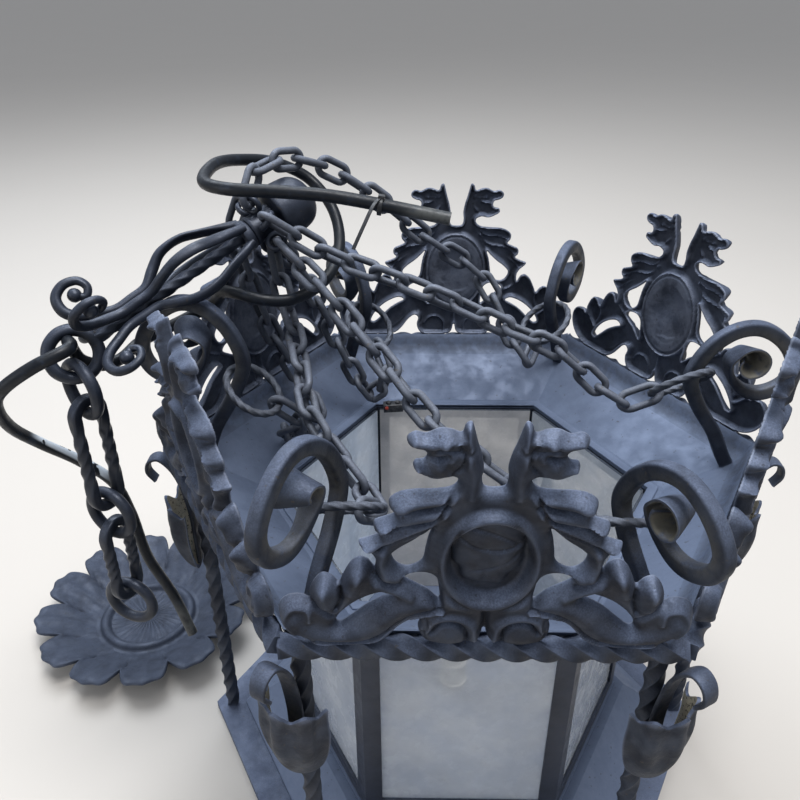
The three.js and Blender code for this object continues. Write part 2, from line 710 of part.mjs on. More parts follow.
function gearGeometry({ centre, length, isRing, bearing }) {
  const across = polar(1, bearing, 0);
  const frame = { centre, direction: across, tangent: up, normal: new THREE.Vector3().crossVectors(across, up) };
  if (isRing) return ringGeometry(frame, suspensionWire, suspensionRingRadius, 18, 7);
  const arc = 16;
  const link = new THREE.TorusGeometry(suspensionLinkHalfWidth, suspensionWire / 2, 6, arc).rotateZ(Math.PI / arc);
  const stretch = length / 2 - suspensionLinkHalfWidth;
  const at = link.attributes.position;
  for (let i = 0; i < at.count; i += 1) at.setY(i, at.getY(i) + Math.sign(at.getY(i)) * stretch);
  return link.applyMatrix4(plane(centre, across, up, frame.normal));
}

// Lampholder on the floor plate with its bulb
const lampholderFoot = floorTop + fit;
const bulbFoot = lampholderFoot + lampholderHeight + fit;

function lampholderGeometry() {
  return new THREE.CylinderGeometry(lampholderRadius, lampholderRadius, lampholderHeight, 20)
    .rotateX(Math.PI / 2).translate(0, 0, lampholderFoot + lampholderHeight / 2);
}

function bulbGeometry() {
  const outline = [[0, 0], [0.6, 0], [0.62, 0.16], [0.95, 0.42], [1, 0.62], [0.75, 0.88], [0, 1]];
  const points = outline.map(([r, h]) => new THREE.Vector2(r * bulbRadius, h * bulbHeight));
  return new THREE.LatheGeometry(points, 16).rotateX(Math.PI / 2).translate(0, 0, bulbFoot);
}

// Ceiling rose: a petalled dish lying beside the lantern
function roseGeometry() {
  const outer = [[0, 0], [0.42, 0], [0.6, 0.2], [0.82, 0.6], [1, 0.92]];
  const inner = [[0.985, 1], [0.8, 0.7], [0.6, 0.31], [0.47, 0.14], [0.45, 0.34], [0.38, 0.34], [0.36, 0.1], [0, 0.1]];
  const points = [...outer, ...inner].map(([r, h]) => new THREE.Vector2(r * roseRadius, h * roseHeight));
  const dish = new THREE.LatheGeometry(points, rosePetals * 2).rotateX(Math.PI / 2);
  const at = dish.attributes.position;
  for (let i = 0; i < at.count; i += 1) {
    const [x, y] = [at.getX(i), at.getY(i)];
    const share = Math.hypot(x, y) / roseRadius;
    const wave = Math.cos(Math.atan2(y, x) * rosePetals);
    const swell = 1 + 0.045 * wave * THREE.MathUtils.smoothstep(share, 0.6, 1);
    at.setXY(i, x * swell, y * swell);
  }
  return dish.translate(roseCentre.x, roseCentre.y, 0);
}

// Stiff round flex, cut at both ends, threaded through the stem's eye. Points
// are x, y and height above the rim.
const flexRoute = [
  [-263, -20, -206], [-279, -9, -166], [-298, -6, -118], [-306, -4, -66], [-316, -4, -32], [-340, -8, -6],
  [-360, -26, 24], [-368, -48, 54], [-362, -68, 86], [-346, -80, 107], [-322, -77, 123], [-299, -60, 131],
  [-307, -44, 128.5],
  [-312, -31, 118], [-308, -27, 104], [-294, -20, 96], [-285, -4, 94], [-276, 18, 98], [-256, 27, 106],
  [-236, 35, 114], [-216, 40, 124],
  [-204, 32, 138], [-190, 20, 142], [-168, 14, 139], [-148, 20, 136], [-130, 36, 138], [-116, 58, 146],
  [-110, 86, 162], [-118, 116, 184], [-140, 134, 206], [-168, 126, 222], [-192, 102, 230], [-206, 74, 234],
  [-210, 44, 232], [-202, 16, 232], [-182, 2, 232], [-150, 0, 231], [-110, 0, 228], [-66, -2, 221],
  [-18, -8, 213],
];

function flexGeometry() {
  const curve = new THREE.CatmullRomCurve3(flexRoute.map(([x, y, z]) => new THREE.Vector3(x, y, rimHeight + z)));
  return new THREE.ExtrudeGeometry(roundSection(flexDiameter / 2, 8), { steps: 52, extrudePath: curve });
}

add('base_ring', iron, baseRingGeometry());
add('base_skirt', iron, skirtGeometry());
add('floor_plate', dustyIron, floorGeometry());
add('body_frame', darkIron, frameGeometry());
add('gallery', dustyIron, galleryGeometry());
add('rim_rope', iron, ropeGeometry());

const corners = ['right', 'back_right', 'back_left', 'left', 'front_left', 'front_right'];
const faces = ['right_back', 'back', 'left_back', 'left_front', 'front', 'right_front'];
corners.forEach((corner, index) => {
  add(`column_${corner}`, iron, columnGeometry(index));
  add(`capital_${corner}`, dustyIron, capitalGeometry(index));
  add(`scroll_${corner}`, iron, scrollGeometry(index));
  add(`ring_${corner}`, iron, ringGeometry(seatRing(index), ringWire, ringRadius, 16, 5));
  add(`chain_${corner}`, iron, chainGeometry(index));
});
faces.forEach((face, index) => {
  add(`pane_${face}`, glass, paneGeometry(index));
  add(`crest_${face}`, dustyIron, crestGeometry(index));
});

add('stem', darkIron, stemGeometry());
add('hub', darkIron, hubGeometry());
add('stem_brackets', darkIron, bracketsGeometry());
const gearNames = ['suspension_ring_upper', 'suspension_link_upper', 'suspension_ring_middle',
  'suspension_link_lower', 'suspension_ring_lower'];
gearPlaces().forEach((place, index) => add(gearNames[index], darkIron, gearGeometry(place)));

add('lampholder', porcelain, lampholderGeometry());
add('bulb', glass, bulbGeometry());
add('ceiling_rose', iron, roseGeometry());
add('flex', rubber, flexGeometry());

// The origin in the middle of the footprint, the loose flex left out
const footprint = new THREE.Box3();
lantern.children.filter((mesh) => mesh.name !== 'flex').forEach((mesh) => footprint.expandByObject(mesh));
const middle = footprint.getCenter(new THREE.Vector3());
lantern.position.set(-middle.x, -middle.y, 0);

export default lantern;
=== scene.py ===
# %% [markdown]
# # A wrought iron ceiling lantern
# The lantern stands on a table with its chains, stem and hanging rings laid
# over its left side, and its ceiling rose lies beside it. The imported solids
# come in first as a fixed frame. Everything made later sits on that frame.

# %% Load the frame
import json
import math

import bpy
import numpy as np
from mathutils import Matrix, Vector
from mathutils import noise as wobble


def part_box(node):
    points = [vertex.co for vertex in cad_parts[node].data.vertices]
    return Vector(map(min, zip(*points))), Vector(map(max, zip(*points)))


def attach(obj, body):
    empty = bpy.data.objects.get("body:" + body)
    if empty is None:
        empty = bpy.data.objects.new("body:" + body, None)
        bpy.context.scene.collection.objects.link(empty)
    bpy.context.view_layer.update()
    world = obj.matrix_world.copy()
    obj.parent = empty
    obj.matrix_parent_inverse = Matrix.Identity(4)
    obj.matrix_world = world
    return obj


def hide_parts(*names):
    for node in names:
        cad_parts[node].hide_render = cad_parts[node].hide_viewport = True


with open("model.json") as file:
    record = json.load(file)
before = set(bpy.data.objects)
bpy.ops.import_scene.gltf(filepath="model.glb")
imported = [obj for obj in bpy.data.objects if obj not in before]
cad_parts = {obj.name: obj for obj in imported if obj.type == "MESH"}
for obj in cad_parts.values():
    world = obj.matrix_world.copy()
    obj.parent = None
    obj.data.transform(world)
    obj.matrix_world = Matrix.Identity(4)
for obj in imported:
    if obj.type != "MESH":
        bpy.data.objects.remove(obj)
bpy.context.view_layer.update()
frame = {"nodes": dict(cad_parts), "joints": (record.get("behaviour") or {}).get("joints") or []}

# %% [markdown]
# The drawings of this lantern use millimetres about its own upright axis, with
# the right corner along X. The base ring gives that axis, because it is a
# plain hexagon round it. One helper turns such points into scene metres.

# %% The lantern's axis and its main sizes
ring_low, ring_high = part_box("base_ring")
AXIS = (ring_low + ring_high) / 2
SIDES = 6
FIT = 0.3
RIM_HEIGHT = 340
RIM_RADIUS = 259
GALLERY_DROP = 37.5
GALLERY_FLAT_RADIUS = 182
TO_APOTHEM = math.cos(math.pi / SIDES)
CORNERS = ["right", "back_right", "back_left", "left", "front_left", "front_right"]
FACES = ["right_back", "back", "left_back", "left_front", "front", "right_front"]
UP = np.array([0.0, 0.0, 1.0])


def in_scene(points):
    """Millimetres about the lantern's axis, as metres in the scene."""
    return np.asarray(points, float) / 1000 + [AXIS.x, AXIS.y, 0]


def polar(radius, degrees, z):
    """A point from its distance and bearing about the axis, and its height."""
    turn = math.radians(degrees)
    return np.array([radius * math.cos(turn), radius * math.sin(turn), z])


def unit(vector):
    """The same direction with a length of one."""
    vector = np.asarray(vector, float)
    return vector / np.linalg.norm(vector)


print("axis at", [round(v, 4) for v in AXIS])

# %% [markdown]
# The photograph looks down on the lantern from about thirty degrees above the
# horizon, close enough for strong perspective. The camera's place and turn
# were worked out from the corners of the rim and of the gallery's opening, and
# from points on the crests.

# %% Camera
CAMERA_PLACE = (-45, -577.6, 729.2)
CAMERA_YAW = -1.07
CAMERA_PITCH = 30.17
CAMERA_ROLL = -0.18
CAMERA_LENS = 35.352
CAMERA_SENSOR = 36
CAMERA_NEAREST = 0.01


def look_axes():
    """The camera's right, upward and backward directions."""
    yaw, pitch, roll = (math.radians(a) for a in (CAMERA_YAW, CAMERA_PITCH, CAMERA_ROLL))
    forward = Vector((math.sin(yaw) * math.cos(pitch), math.cos(yaw) * math.cos(pitch), -math.sin(pitch)))
    right = Vector((math.cos(yaw), -math.sin(yaw), 0))
    above = right.cross(forward)
    turned_right = math.cos(roll) * right + math.sin(roll) * above
    turned_above = math.cos(roll) * above - math.sin(roll) * right
    return turned_right, turned_above, -forward


camera_data = bpy.data.cameras.new("camera")
camera_data.sensor_width = CAMERA_SENSOR
camera_data.lens = CAMERA_LENS
camera_data.clip_start = CAMERA_NEAREST
camera = bpy.data.objects.new("camera", camera_data)
bpy.context.scene.collection.objects.link(camera)
camera_turn = Matrix(look_axes()).transposed().to_4x4()
camera.matrix_world = Matrix.Translation(Vector(in_scene(CAMERA_PLACE))) @ camera_turn
bpy.context.scene.camera = camera
print("camera at", [round(v, 3) for v in camera.location])

# %% [markdown]
# Most pieces here are bars: wires, scrolls, brackets and links. Each follows a
# smooth curve through a few points. A centripetal spline is used because it
# never makes loops where the points come close together.

# %% Curves
SPLINE_STEP = 0.04


def spline(points, count):
    """Evenly spaced points on a centripetal spline through the given ones."""
    points = np.asarray(points, float)
    ends = [2 * points[0] - points[1], *points, 2 * points[-1] - points[-2]]
    fine = []
    for a, b, c, d in zip(ends, ends[1:], ends[2:], ends[3:]):
        gaps = [max(np.linalg.norm(q - p), 1e-9) ** 0.5 for p, q in ((a, b), (b, c), (c, d))]
        leave = (b - a) / gaps[0] - (c - a) / (gaps[0] + gaps[1]) + (c - b) / gaps[1]
        arrive = (c - b) / gaps[1] - (d - b) / (gaps[1] + gaps[2]) + (d - c) / gaps[2]
        leave, arrive = leave * gaps[1], arrive * gaps[1]
        for t in np.arange(0, 1, SPLINE_STEP):
            cubic = (2 * b - 2 * c + leave + arrive) * t ** 3
            square = (-3 * b + 3 * c - 2 * leave - arrive) * t ** 2
            fine.append(cubic + square + leave * t + b)
    fine.append(points[-1])
    return spaced(np.array(fine), count)


def spaced(points, count):
    """The same line with its points at even distances."""
    steps = np.linalg.norm(np.diff(points, axis=0), axis=1)
    run = np.concatenate([[0], np.cumsum(steps)])
    at = np.linspace(0, run[-1], count)
    return np.stack([np.interp(at, run, points[:, k]) for k in range(3)], 1)


def length_of(points):
    return float(np.linalg.norm(np.diff(points, axis=0), axis=1).sum())


def tangents_of(points, closed=False):
    """The line's direction at each of its points."""
    if closed:
        ahead = np.roll(points, -1, 0) - np.roll(points, 1, 0)
    else:
        ahead = np.gradient(points, axis=0)
    return ahead / np.linalg.norm(ahead, axis=1)[:, None]


def smoothstep(value, low, high):
    """Zero below low, one above high, and a soft slope between them."""
    t = np.clip((np.asarray(value, float) - low) / (high - low), 0, 1)
    return t * t * (3 - 2 * t)


test_arch = spline([[0, 0, 0], [10, 10, 0], [20, 0, 0]], 50)
print("a test arch over 20 mm is", round(length_of(test_arch), 1), "mm long")

# %% [markdown]
# The flex is the lamp's old cable. It is cut at both ends, is stiff enough to
# hold its bends, and runs through the eye on the stem. It is a true curve
# object with a round bevel, because Blender then keeps its centre line and its
# thickness apart.

# %% Flex
FLEX_DIAMETER = 10
FLEX_STEPS = 300
FLEX_ROUNDNESS = 5
FLEX_ROUTE = [
    [-263, -20, -206], [-279, -9, -166], [-298, -6, -118], [-306, -4, -66], [-316, -4, -32], [-340, -8, -6],
    [-360, -26, 24], [-368, -48, 54], [-362, -68, 86], [-346, -80, 107], [-322, -77, 123], [-299, -60, 131],
    [-307, -44, 128.5],
    [-312, -31, 118], [-308, -27, 104], [-294, -20, 96], [-285, -4, 94], [-276, 18, 98], [-256, 27, 106],
    [-236, 35, 114], [-216, 40, 124],
    [-204, 32, 138], [-190, 20, 142], [-168, 14, 139], [-148, 20, 136], [-130, 36, 138], [-116, 58, 146],
    [-110, 86, 162], [-118, 116, 184], [-140, 134, 206], [-168, 126, 222], [-192, 102, 230], [-206, 74, 234],
    [-210, 44, 232], [-202, 16, 232], [-182, 2, 232], [-150, 0, 231], [-110, 0, 228], [-66, -2, 221],
    [-18, -8, 213],
]
flex_line = spline([[x, y, z + RIM_HEIGHT] for x, y, z in FLEX_ROUTE], FLEX_STEPS)
flex_curve = bpy.data.curves.new("flex_sheath", "CURVE")
flex_curve.dimensions = "3D"
flex_curve.bevel_depth = FLEX_DIAMETER / 2000
flex_curve.bevel_resolution = FLEX_ROUNDNESS
flex_curve.use_fill_caps = True
strand = flex_curve.splines.new("POLY")
strand.points.add(len(flex_line) - 1)
for point, place in zip(strand.points, in_scene(flex_line)):
    point.co = (*place, 1)
flex = bpy.data.objects.new("flex_sheath", flex_curve)
bpy.context.scene.collection.objects.link(flex)
print("flex length, mm:", round(length_of(flex_line)))

# %% [markdown]
# Every finish here is iron in some state of age. The shared recipe starts from
# a dark blue grey scale, adds patches of a second tone, lets a pale blue top
# colour settle on faces that look up, which is dust and also painted top light
# for the sky's sheen, puts a dirt colour in the hollows, brown dirt on most
# irons and a near-black painted shade in the recesses of the cast and rose
# iron, and rubs the edges a little lighter. Two shares stored on a mesh's
# points, "worn" and "soiled", say where a piece is rubbed pale or caked with
# soil, and are zero on a mesh that has none. Fine noise as a bump gives the
# sandy, forged skin.

# %% Iron finishes


def nodes_of(name):
    """A new material, its node tree and its shader."""
    material = bpy.data.materials.new(name)
    material.use_nodes = True
    tree = material.node_tree
    return material, tree, tree.nodes["Principled BSDF"]


def object_place(tree):
    return tree.nodes.new("ShaderNodeTexCoord").outputs["Object"]


def upward(tree):
    """How far the surface looks up, from minus one to one."""
    split = tree.nodes.new("ShaderNodeSeparateXYZ")
    tree.links.new(tree.nodes.new("ShaderNodeTexCoord").outputs["Normal"], split.inputs["Vector"])
    return split.outputs["Z"]


def marked(tree, name):
    """The share that a mesh's points hold under that name."""
    made = tree.nodes.new("ShaderNodeAttribute")
    made.attribute_name = name
    return made.outputs["Fac"]


def noise(tree, source, scale, detail=4, rough=0.6):
    """Soft noise from zero to one, with scale patches to the metre."""
    made = tree.nodes.new("ShaderNodeTexNoise")
    made.inputs["Scale"].default_value = scale
    made.inputs["Detail"].default_value = detail
    made.inputs["Roughness"].default_value = rough
    tree.links.new(source, made.inputs["Vector"])
    return made.outputs["Fac"]


def between(tree, value, low, high, bottom=0.0, top=1.0):
    """Maps low to high smoothly onto bottom to top, and holds both ends."""
    made = tree.nodes.new("ShaderNodeMapRange")
    made.inputs["From Min"].default_value = low
    made.inputs["From Max"].default_value = high
    made.inputs["To Min"].default_value = bottom
    made.inputs["To Max"].default_value = top
    made.interpolation_type = "SMOOTHSTEP"
    tree.links.new(value, made.inputs["Value"])
    return made.outputs["Result"]


def product(tree, first, second):
    made = tree.nodes.new("ShaderNodeMath")
    made.operation = "MULTIPLY"
    tree.links.new(first, made.inputs[0])
    if isinstance(second, (int, float)):
        made.inputs[1].default_value = second
    else:
        tree.links.new(second, made.inputs[1])
    return made.outputs["Value"]


def mixed(tree, share, first, second):
    """A share of the second colour over the first."""
    made = tree.nodes.new("ShaderNodeMix")
    made.data_type = "RGBA"
    tree.links.new(share, made.inputs["Factor"])
    # Inputs 6 and 7 are this node's two colours, and output 2 is their mixture.
    for socket, colour in ((made.inputs[6], first), (made.inputs[7], second)):
        if isinstance(colour, tuple):
            socket.default_value = (*colour, 1)
        else:
            tree.links.new(colour, socket)
    return made.outputs[2]


def bumped(tree, height, strength, distance, under=None):
    """A bumpy surface from that height, on top of another where one is given."""
    made = tree.nodes.new("ShaderNodeBump")
    made.inputs["Strength"].default_value = strength
    made.inputs["Distance"].default_value = distance
    tree.links.new(height, made.inputs["Height"])
    if under is not None:
        tree.links.new(under, made.inputs["Normal"])
    return made.outputs["Normal"]


SOIL = (0.155, 0.143, 0.115)
RUBBED_WARMTH = (1.15, 1.02, 0.85)
RUBBED_GAIN = 1.5
COARSE_BUMP = 0.0008
FINE_BUMP = 0.0003


def rubbed_tone(dust_and_sheen):
    """The top colour of dust and painted sheen, paler and a little warmer, where iron is rubbed."""
    return tuple(min(1, c * warmth * RUBBED_GAIN) for c, warmth in zip(dust_and_sheen, RUBBED_WARMTH))


def iron_finish(name, scale_colour, patch, dust_and_sheen, dirt_and_shade, pale_share=0.6, dirt_and_shade_share=0.5, rough=(0.5, 0.8), metal=0.35,
                bump=0.25):
    material, tree, shader = nodes_of(name)
    place = object_place(tree)
    pointed = tree.nodes.new("ShaderNodeNewGeometry").outputs["Pointiness"]
    patches = between(tree, noise(tree, place, 38), 0.4, 0.62)
    colour = mixed(tree, patches, scale_colour, patch)
    speckle = between(tree, noise(tree, place, 900, 2), 0.35, 0.7, 0.55, 1)
    # Faces that look up take the pale blue top colour: settled dust, and painted top light standing in for
    # the sky's sheen.
    dust_and_top_light = product(tree, between(tree, upward(tree), -0.1, 0.95, 0, pale_share), speckle)
    top_tone_patches = between(tree, noise(tree, place, 70, 5), 0.25, 0.6, 0.45, 1)
    colour = mixed(tree, product(tree, dust_and_top_light, top_tone_patches), colour, dust_and_sheen)
    # Hollows take the dirt colour: brown dirt on most irons, and on the cast and rose iron a near-black
    # painted shade in the recesses.
    hollow = between(tree, pointed, 0.49, 0.40, 0, dirt_and_shade_share)
    dirt_and_shade_patches = between(tree, noise(tree, place, 120, 4), 0.35, 0.6)
    colour = mixed(tree, product(tree, hollow, dirt_and_shade_patches), colour, dirt_and_shade)
    edge = between(tree, pointed, 0.52, 0.62, 0, 0.5)
    colour = mixed(tree, edge, colour, tuple(min(1, c * 1.25 + 0.02) for c in dust_and_sheen))
    chafed = between(tree, noise(tree, place, 65, 4), 0.32, 0.62, 0.2, 0.8)
    colour = mixed(tree, product(tree, marked(tree, "worn"), chafed), colour, rubbed_tone(dust_and_sheen))
    grimy = between(tree, noise(tree, place, 110, 5), 0.3, 0.55, 0.2, 1)
    colour = mixed(tree, product(tree, marked(tree, "soiled"), grimy), colour, SOIL)
    specks = between(tree, noise(tree, place, 260, 2, 0.4), 0.69, 0.74, 0, 0.5)
    colour = mixed(tree, specks, colour, dirt_and_shade)
    tree.links.new(colour, shader.inputs["Base Color"])
    tree.links.new(between(tree, noise(tree, place, 60), 0.3, 0.7, *rough), shader.inputs["Roughness"])
    shader.inputs["Metallic"].default_value = metal
    coarse = bumped(tree, noise(tree, place, 220, 5), bump, COARSE_BUMP)
    fine = bumped(tree, noise(tree, place, 1500, 2), bump * 0.7, FINE_BUMP, coarse)
    tree.links.new(fine, shader.inputs["Normal"])
    return material


FORGED = iron_finish(
    "forged_iron", (0.017, 0.021, 0.032), (0.034, 0.042, 0.06), (0.13, 0.16, 0.24), (0.085, 0.07, 0.05),
    pale_share=0.8, dirt_and_shade_share=0.6, bump=0.6)
# Its near-black hollow colour is painted shade in the recesses of the crests.
CAST = iron_finish(
    "cast_iron", (0.011, 0.014, 0.024), (0.028, 0.036, 0.056), (0.145, 0.18, 0.27), (0.02, 0.02, 0.024),
    pale_share=0.8, dirt_and_shade_share=0.5, bump=0.65)
SHEET = iron_finish(
    "sheet_iron", (0.105, 0.134, 0.201), (0.114, 0.145, 0.216), (0.136, 0.171, 0.251), (0.05, 0.045, 0.04),
    pale_share=0.6, dirt_and_shade_share=0.4, bump=0.25)
CHAIN = iron_finish(
    "chain_iron", (0.02, 0.024, 0.034), (0.05, 0.055, 0.065), (0.18, 0.2, 0.25), (0.12, 0.10, 0.07),
    pale_share=0.8, dirt_and_shade_share=0.7, bump=0.75)
BLACK = iron_finish(
    "blackened_iron", (0.007, 0.010, 0.018), (0.015, 0.02, 0.033), (0.07, 0.085, 0.125), (0.05, 0.042, 0.03),
    pale_share=0.65, rough=(0.34, 0.55), metal=0.3, bump=0.25)
# Its strong near-black hollow colour is painted shade in the rose's recesses and middle.
ROSE = iron_finish(
    "rose_iron", (0.018, 0.023, 0.036), (0.032, 0.04, 0.06), (0.068, 0.085, 0.128), (0.022, 0.022, 0.024),
    pale_share=0.85, dirt_and_shade_share=0.9, bump=0.25)
print("iron finishes:", [m.name for m in (FORGED, CAST, SHEET, CHAIN, BLACK, ROSE)])

# %% [markdown]
# The backs of the castings and the insides of the capitals were never cleaned:
# a khaki crust of dust with dark speckles covers them. The flex is a smooth
# black sheath with a soft shine, and the panes are dusty glass; the grey, warm
# and cold tones of the three seen panes are painted reflections. The
# lampholder is glazed white.

# %% Other finishes
CRUST_PALE = (0.58, 0.53, 0.41)
CRUST_SPOTS = (0.05, 0.048, 0.045)
CRUST_DRIFT = (0.34, 0.31, 0.25)


def crust_finish():
    material, tree, shader = nodes_of("dust_crust")
    place = object_place(tree)
    spots = between(tree, noise(tree, place, 420, 3), 0.36, 0.46)
    colour = mixed(tree, spots, CRUST_SPOTS, CRUST_PALE)
    drift = between(tree, noise(tree, place, 45, 4), 0.35, 0.65)
    colour = mixed(tree, product(tree, drift, 0.5), colour, CRUST_DRIFT)
    tree.links.new(colour, shader.inputs["Base Color"])
    shader.inputs["Roughness"].default_value = 0.92
    tree.links.new(bumped(tree, noise(tree, place, 600, 4), 0.5, 0.0006), shader.inputs["Normal"])
    return material


SHEATH_BLACK = (0.003, 0.005, 0.009)
SHEATH_SCUFF = (0.015, 0.023, 0.04)
CHALK = (0.085, 0.088, 0.085)
CHALK_REACH = (0.045, 0.02)
OLD_PAINT = (0.62, 0.68, 0.74)
PAINTED_SPOT = (-342, -16, 345)
PAINT_REACH = (0.046, 0.03)


def close_to(tree, place, spot, none, full):
    """One within a distance of the spot, falling to zero farther off."""
    far = tree.nodes.new("ShaderNodeVectorMath")
    far.operation = "DISTANCE"
    far.inputs[1].default_value = tuple(in_scene(spot))
    tree.links.new(place, far.inputs[0])
    return between(tree, far.outputs["Value"], none, full)


def sheath_finish():
    material, tree, shader = nodes_of("flex_black")
    place = object_place(tree)
    scuffs = between(tree, noise(tree, place, 90, 5), 0.5, 0.75)
    colour = mixed(tree, scuffs, SHEATH_BLACK, SHEATH_SCUFF)
    chalk = between(tree, noise(tree, place, 150, 5), 0.35, 0.6, 0.25, 0.9)
    for end in (flex_line[0], flex_line[-1]):
        near_end = close_to(tree, place, end, *CHALK_REACH)
        colour = mixed(tree, product(tree, near_end, chalk), colour, CHALK)
    near = close_to(tree, place, PAINTED_SPOT, *PAINT_REACH)
    near = product(tree, near, between(tree, upward(tree), 0.0, 0.3))
    flakes = between(tree, noise(tree, place, 75, 3), 0.42, 0.46)
    colour = mixed(tree, product(tree, near, flakes), colour, OLD_PAINT)
    tree.links.new(colour, shader.inputs["Base Color"])
    sheen = between(tree, noise(tree, place, 160), 0.3, 0.7, 0.34, 0.55)
    tree.links.new(sheen, shader.inputs["Roughness"])
    shader.inputs["Specular IOR Level"].default_value = 0.35
    tree.links.new(bumped(tree, noise(tree, place, 500, 3), 0.12, 0.0004), shader.inputs["Normal"])
    return material


TOP_EDGE_DARK = (0.045, 0.055, 0.075)
GLASS_IOR = 1.5


def pane_finish(name, tone, veil, cover):
    """Glass under a dusty veil, darker on its upward-facing top edge."""
    material, tree, shader = nodes_of(name)
    place = object_place(tree)
    film = between(tree, noise(tree, place, 14, 5), 0.35, 0.7)
    top_edge = between(tree, upward(tree), 0.4, 0.7)
    colour = mixed(tree, top_edge, mixed(tree, film, tone, veil), TOP_EDGE_DARK)
    tree.links.new(colour, shader.inputs["Base Color"])
    covered = between(tree, noise(tree, place, 30, 4), 0.3, 0.7, cover - 0.08, cover + 0.1)
    tree.links.new(covered, shader.inputs["Alpha"])
    dulled = between(tree, noise(tree, place, 55, 4), 0.3, 0.7, 0.12, 0.35)
    tree.links.new(dulled, shader.inputs["Roughness"])
    shader.inputs["IOR"].default_value = GLASS_IOR
    return material


def glazed_finish(name, tone, rough):
    material, tree, shader = nodes_of(name)
    place = object_place(tree)
    bloom = between(tree, noise(tree, place, 120, 4), 0.4, 0.75)
    colour = mixed(tree, bloom, tone, tuple(c * 0.72 for c in tone))
    tree.links.new(colour, shader.inputs["Base Color"])
    dulled = between(tree, noise(tree, place, 200), 0.3, 0.7, rough, rough + 0.2)
    tree.links.new(dulled, shader.inputs["Roughness"])
    return material


CRUST = crust_finish()
SHEATH = sheath_finish()
UNSEEN_PANE = ((0.55, 0.58, 0.62), (0.66, 0.69, 0.72))
# The grey, warm and cold panes are one dusty glass; their tones are painted reflections.
PANE_FINISHES = {
    "right_back": pane_finish("pane_grey", (0.63, 0.67, 0.71), (0.76, 0.79, 0.82), 0.7),
    "back": pane_finish("pane_warm", (0.57, 0.56, 0.55), (0.68, 0.66, 0.64), 0.7),
    "left_back": pane_finish("pane_cold", (0.68, 0.77, 0.88), (0.80, 0.87, 0.95), 0.8),
    "left_front": pane_finish("pane_dull", *UNSEEN_PANE, 0.55),
    "front": pane_finish("pane_dull_front", *UNSEEN_PANE, 0.5),
    "right_front": pane_finish("pane_dull_right", *UNSEEN_PANE, 0.55),
}
PORCELAIN = glazed_finish("glazed_white", (0.74, 0.72, 0.66), 0.15)
BULB_GLASS = glazed_finish("frosted_bulb", (0.85, 0.84, 0.80), 0.3)
flex_curve.materials.append(SHEATH)
print("other finishes:", [m.name for m in (CRUST, SHEATH, *PANE_FINISHES.values(), PORCELAIN, BULB_GLASS)])

# %% [markdown]
# Numpy arrays of points and faces become Blender meshes through one helper. It
# sets smooth shading but keeps edges sharper than an angle, so that a square
# bar keeps its arrises. A bar is a section swept along a line, and a turned
# piece is a profile run round an axis.

# %% Mesh helpers


def piece(name, points, faces, finish, sharp=40):
    mesh = bpy.data.meshes.new(name)
    mesh.from_pydata(in_scene(points).tolist(), [], [list(map(int, f)) for f in faces])
    mesh.materials.append(finish)
    mesh.polygons.foreach_set("use_smooth", [True] * len(mesh.polygons))
    mesh.set_sharp_from_angle(angle=math.radians(sharp))
    mesh.update()
    made = bpy.data.objects.new(name, mesh)
    bpy.context.scene.collection.objects.link(made)
    return made


def mark(made, name, shares):
    """Stores a share on each point, for a finish that reads that name."""
    held = made.data.attributes.new(name, "FLOAT", "POINT")
    held.data.foreach_set("value", np.asarray(shares).ravel().astype(np.float32))


def joined(*parts):
    """Several shapes' points and faces as one shape."""
    points, faces, start = [], [], 0
    for more, more_faces in parts:
        points.append(np.asarray(more, float))
        faces += [tuple(i + start for i in f) for f in more_faces]
        start += len(more)
    return np.concatenate(points), faces


def rounded(width, depth, radius, corner_steps=3):
    """A rectangle's outline with rounded corners, run round once."""
    outline = []
    for sx, sy, start in ((1, 1, 0), (-1, 1, 90), (-1, -1, 180), (1, -1, 270)):
        for k in range(corner_steps + 1):
            turn = math.radians(start + 90 * k / corner_steps)
            outline.append((sx * (width / 2 - radius) + radius * math.cos(turn),
                            sy * (depth / 2 - radius) + radius * math.sin(turn)))
    return np.array(outline)


def circle(radius, count):
    turns = np.arange(count) * 2 * math.pi / count
    return np.stack([radius * np.cos(turns), radius * np.sin(turns)], 1)


def sweep(line, section, side=None, twist=0.0, wide=1.0, deep=1.0, closed=False):
    """A section carried along a line. Its x follows the line's normal and its y
    the side vector. wide and deep scale y and x, twist is in radians a step."""
    line = np.asarray(line, float)
    count = len(line)
    ahead = tangents_of(line, closed)
    if side is None:
        first = np.cross(ahead[0], UP if abs(ahead[0][2]) < 0.9 else [1, 0, 0])
        sides = [unit(first)]
        for t in ahead[1:]:
            sides.append(unit(sides[-1] - np.dot(sides[-1], t) * t))
        sides = np.array(sides)
    else:
        sides = np.broadcast_to(unit(side), (count, 3))
    normals = np.cross(sides, ahead)
    normals /= np.linalg.norm(normals, axis=1)[:, None]
    turns = np.asarray(twist, float) if np.ndim(twist) else np.arange(count) * twist
    wide, deep = np.broadcast_to(wide, (count,)), np.broadcast_to(deep, (count,))
    c, s = np.cos(turns)[:, None], np.sin(turns)[:, None]
    x, y = section[:, 0][None], section[:, 1][None]
    across = (x * c - y * s) * deep[:, None]
    sideways = (x * s + y * c) * wide[:, None]
    points = line[:, None] + across[..., None] * normals[:, None] + sideways[..., None] * sides[:, None]
    around = len(section)
    rows = count if closed else count - 1
    faces = []
    for i in range(rows):
        j = (i + 1) % count
        for k in range(around):
            m = (k + 1) % around
            faces.append((i * around + k, i * around + m, j * around + m, j * around + k))
    if not closed:
        faces.append(tuple(reversed(range(around))))
        faces.append(tuple((count - 1) * around + k for k in range(around)))
    return outwards(points.reshape(-1, 3), faces)


def outwards(points, faces):
    """Turns every face over where the closed shape's volume comes out negative."""
    volume = 0.0
    for f in faces:
        for b, c in zip(f[1:], f[2:]):
            volume += np.dot(points[f[0]], np.cross(points[b], points[c]))
    return points, faces if volume > 0 else [tuple(reversed(f)) for f in faces]


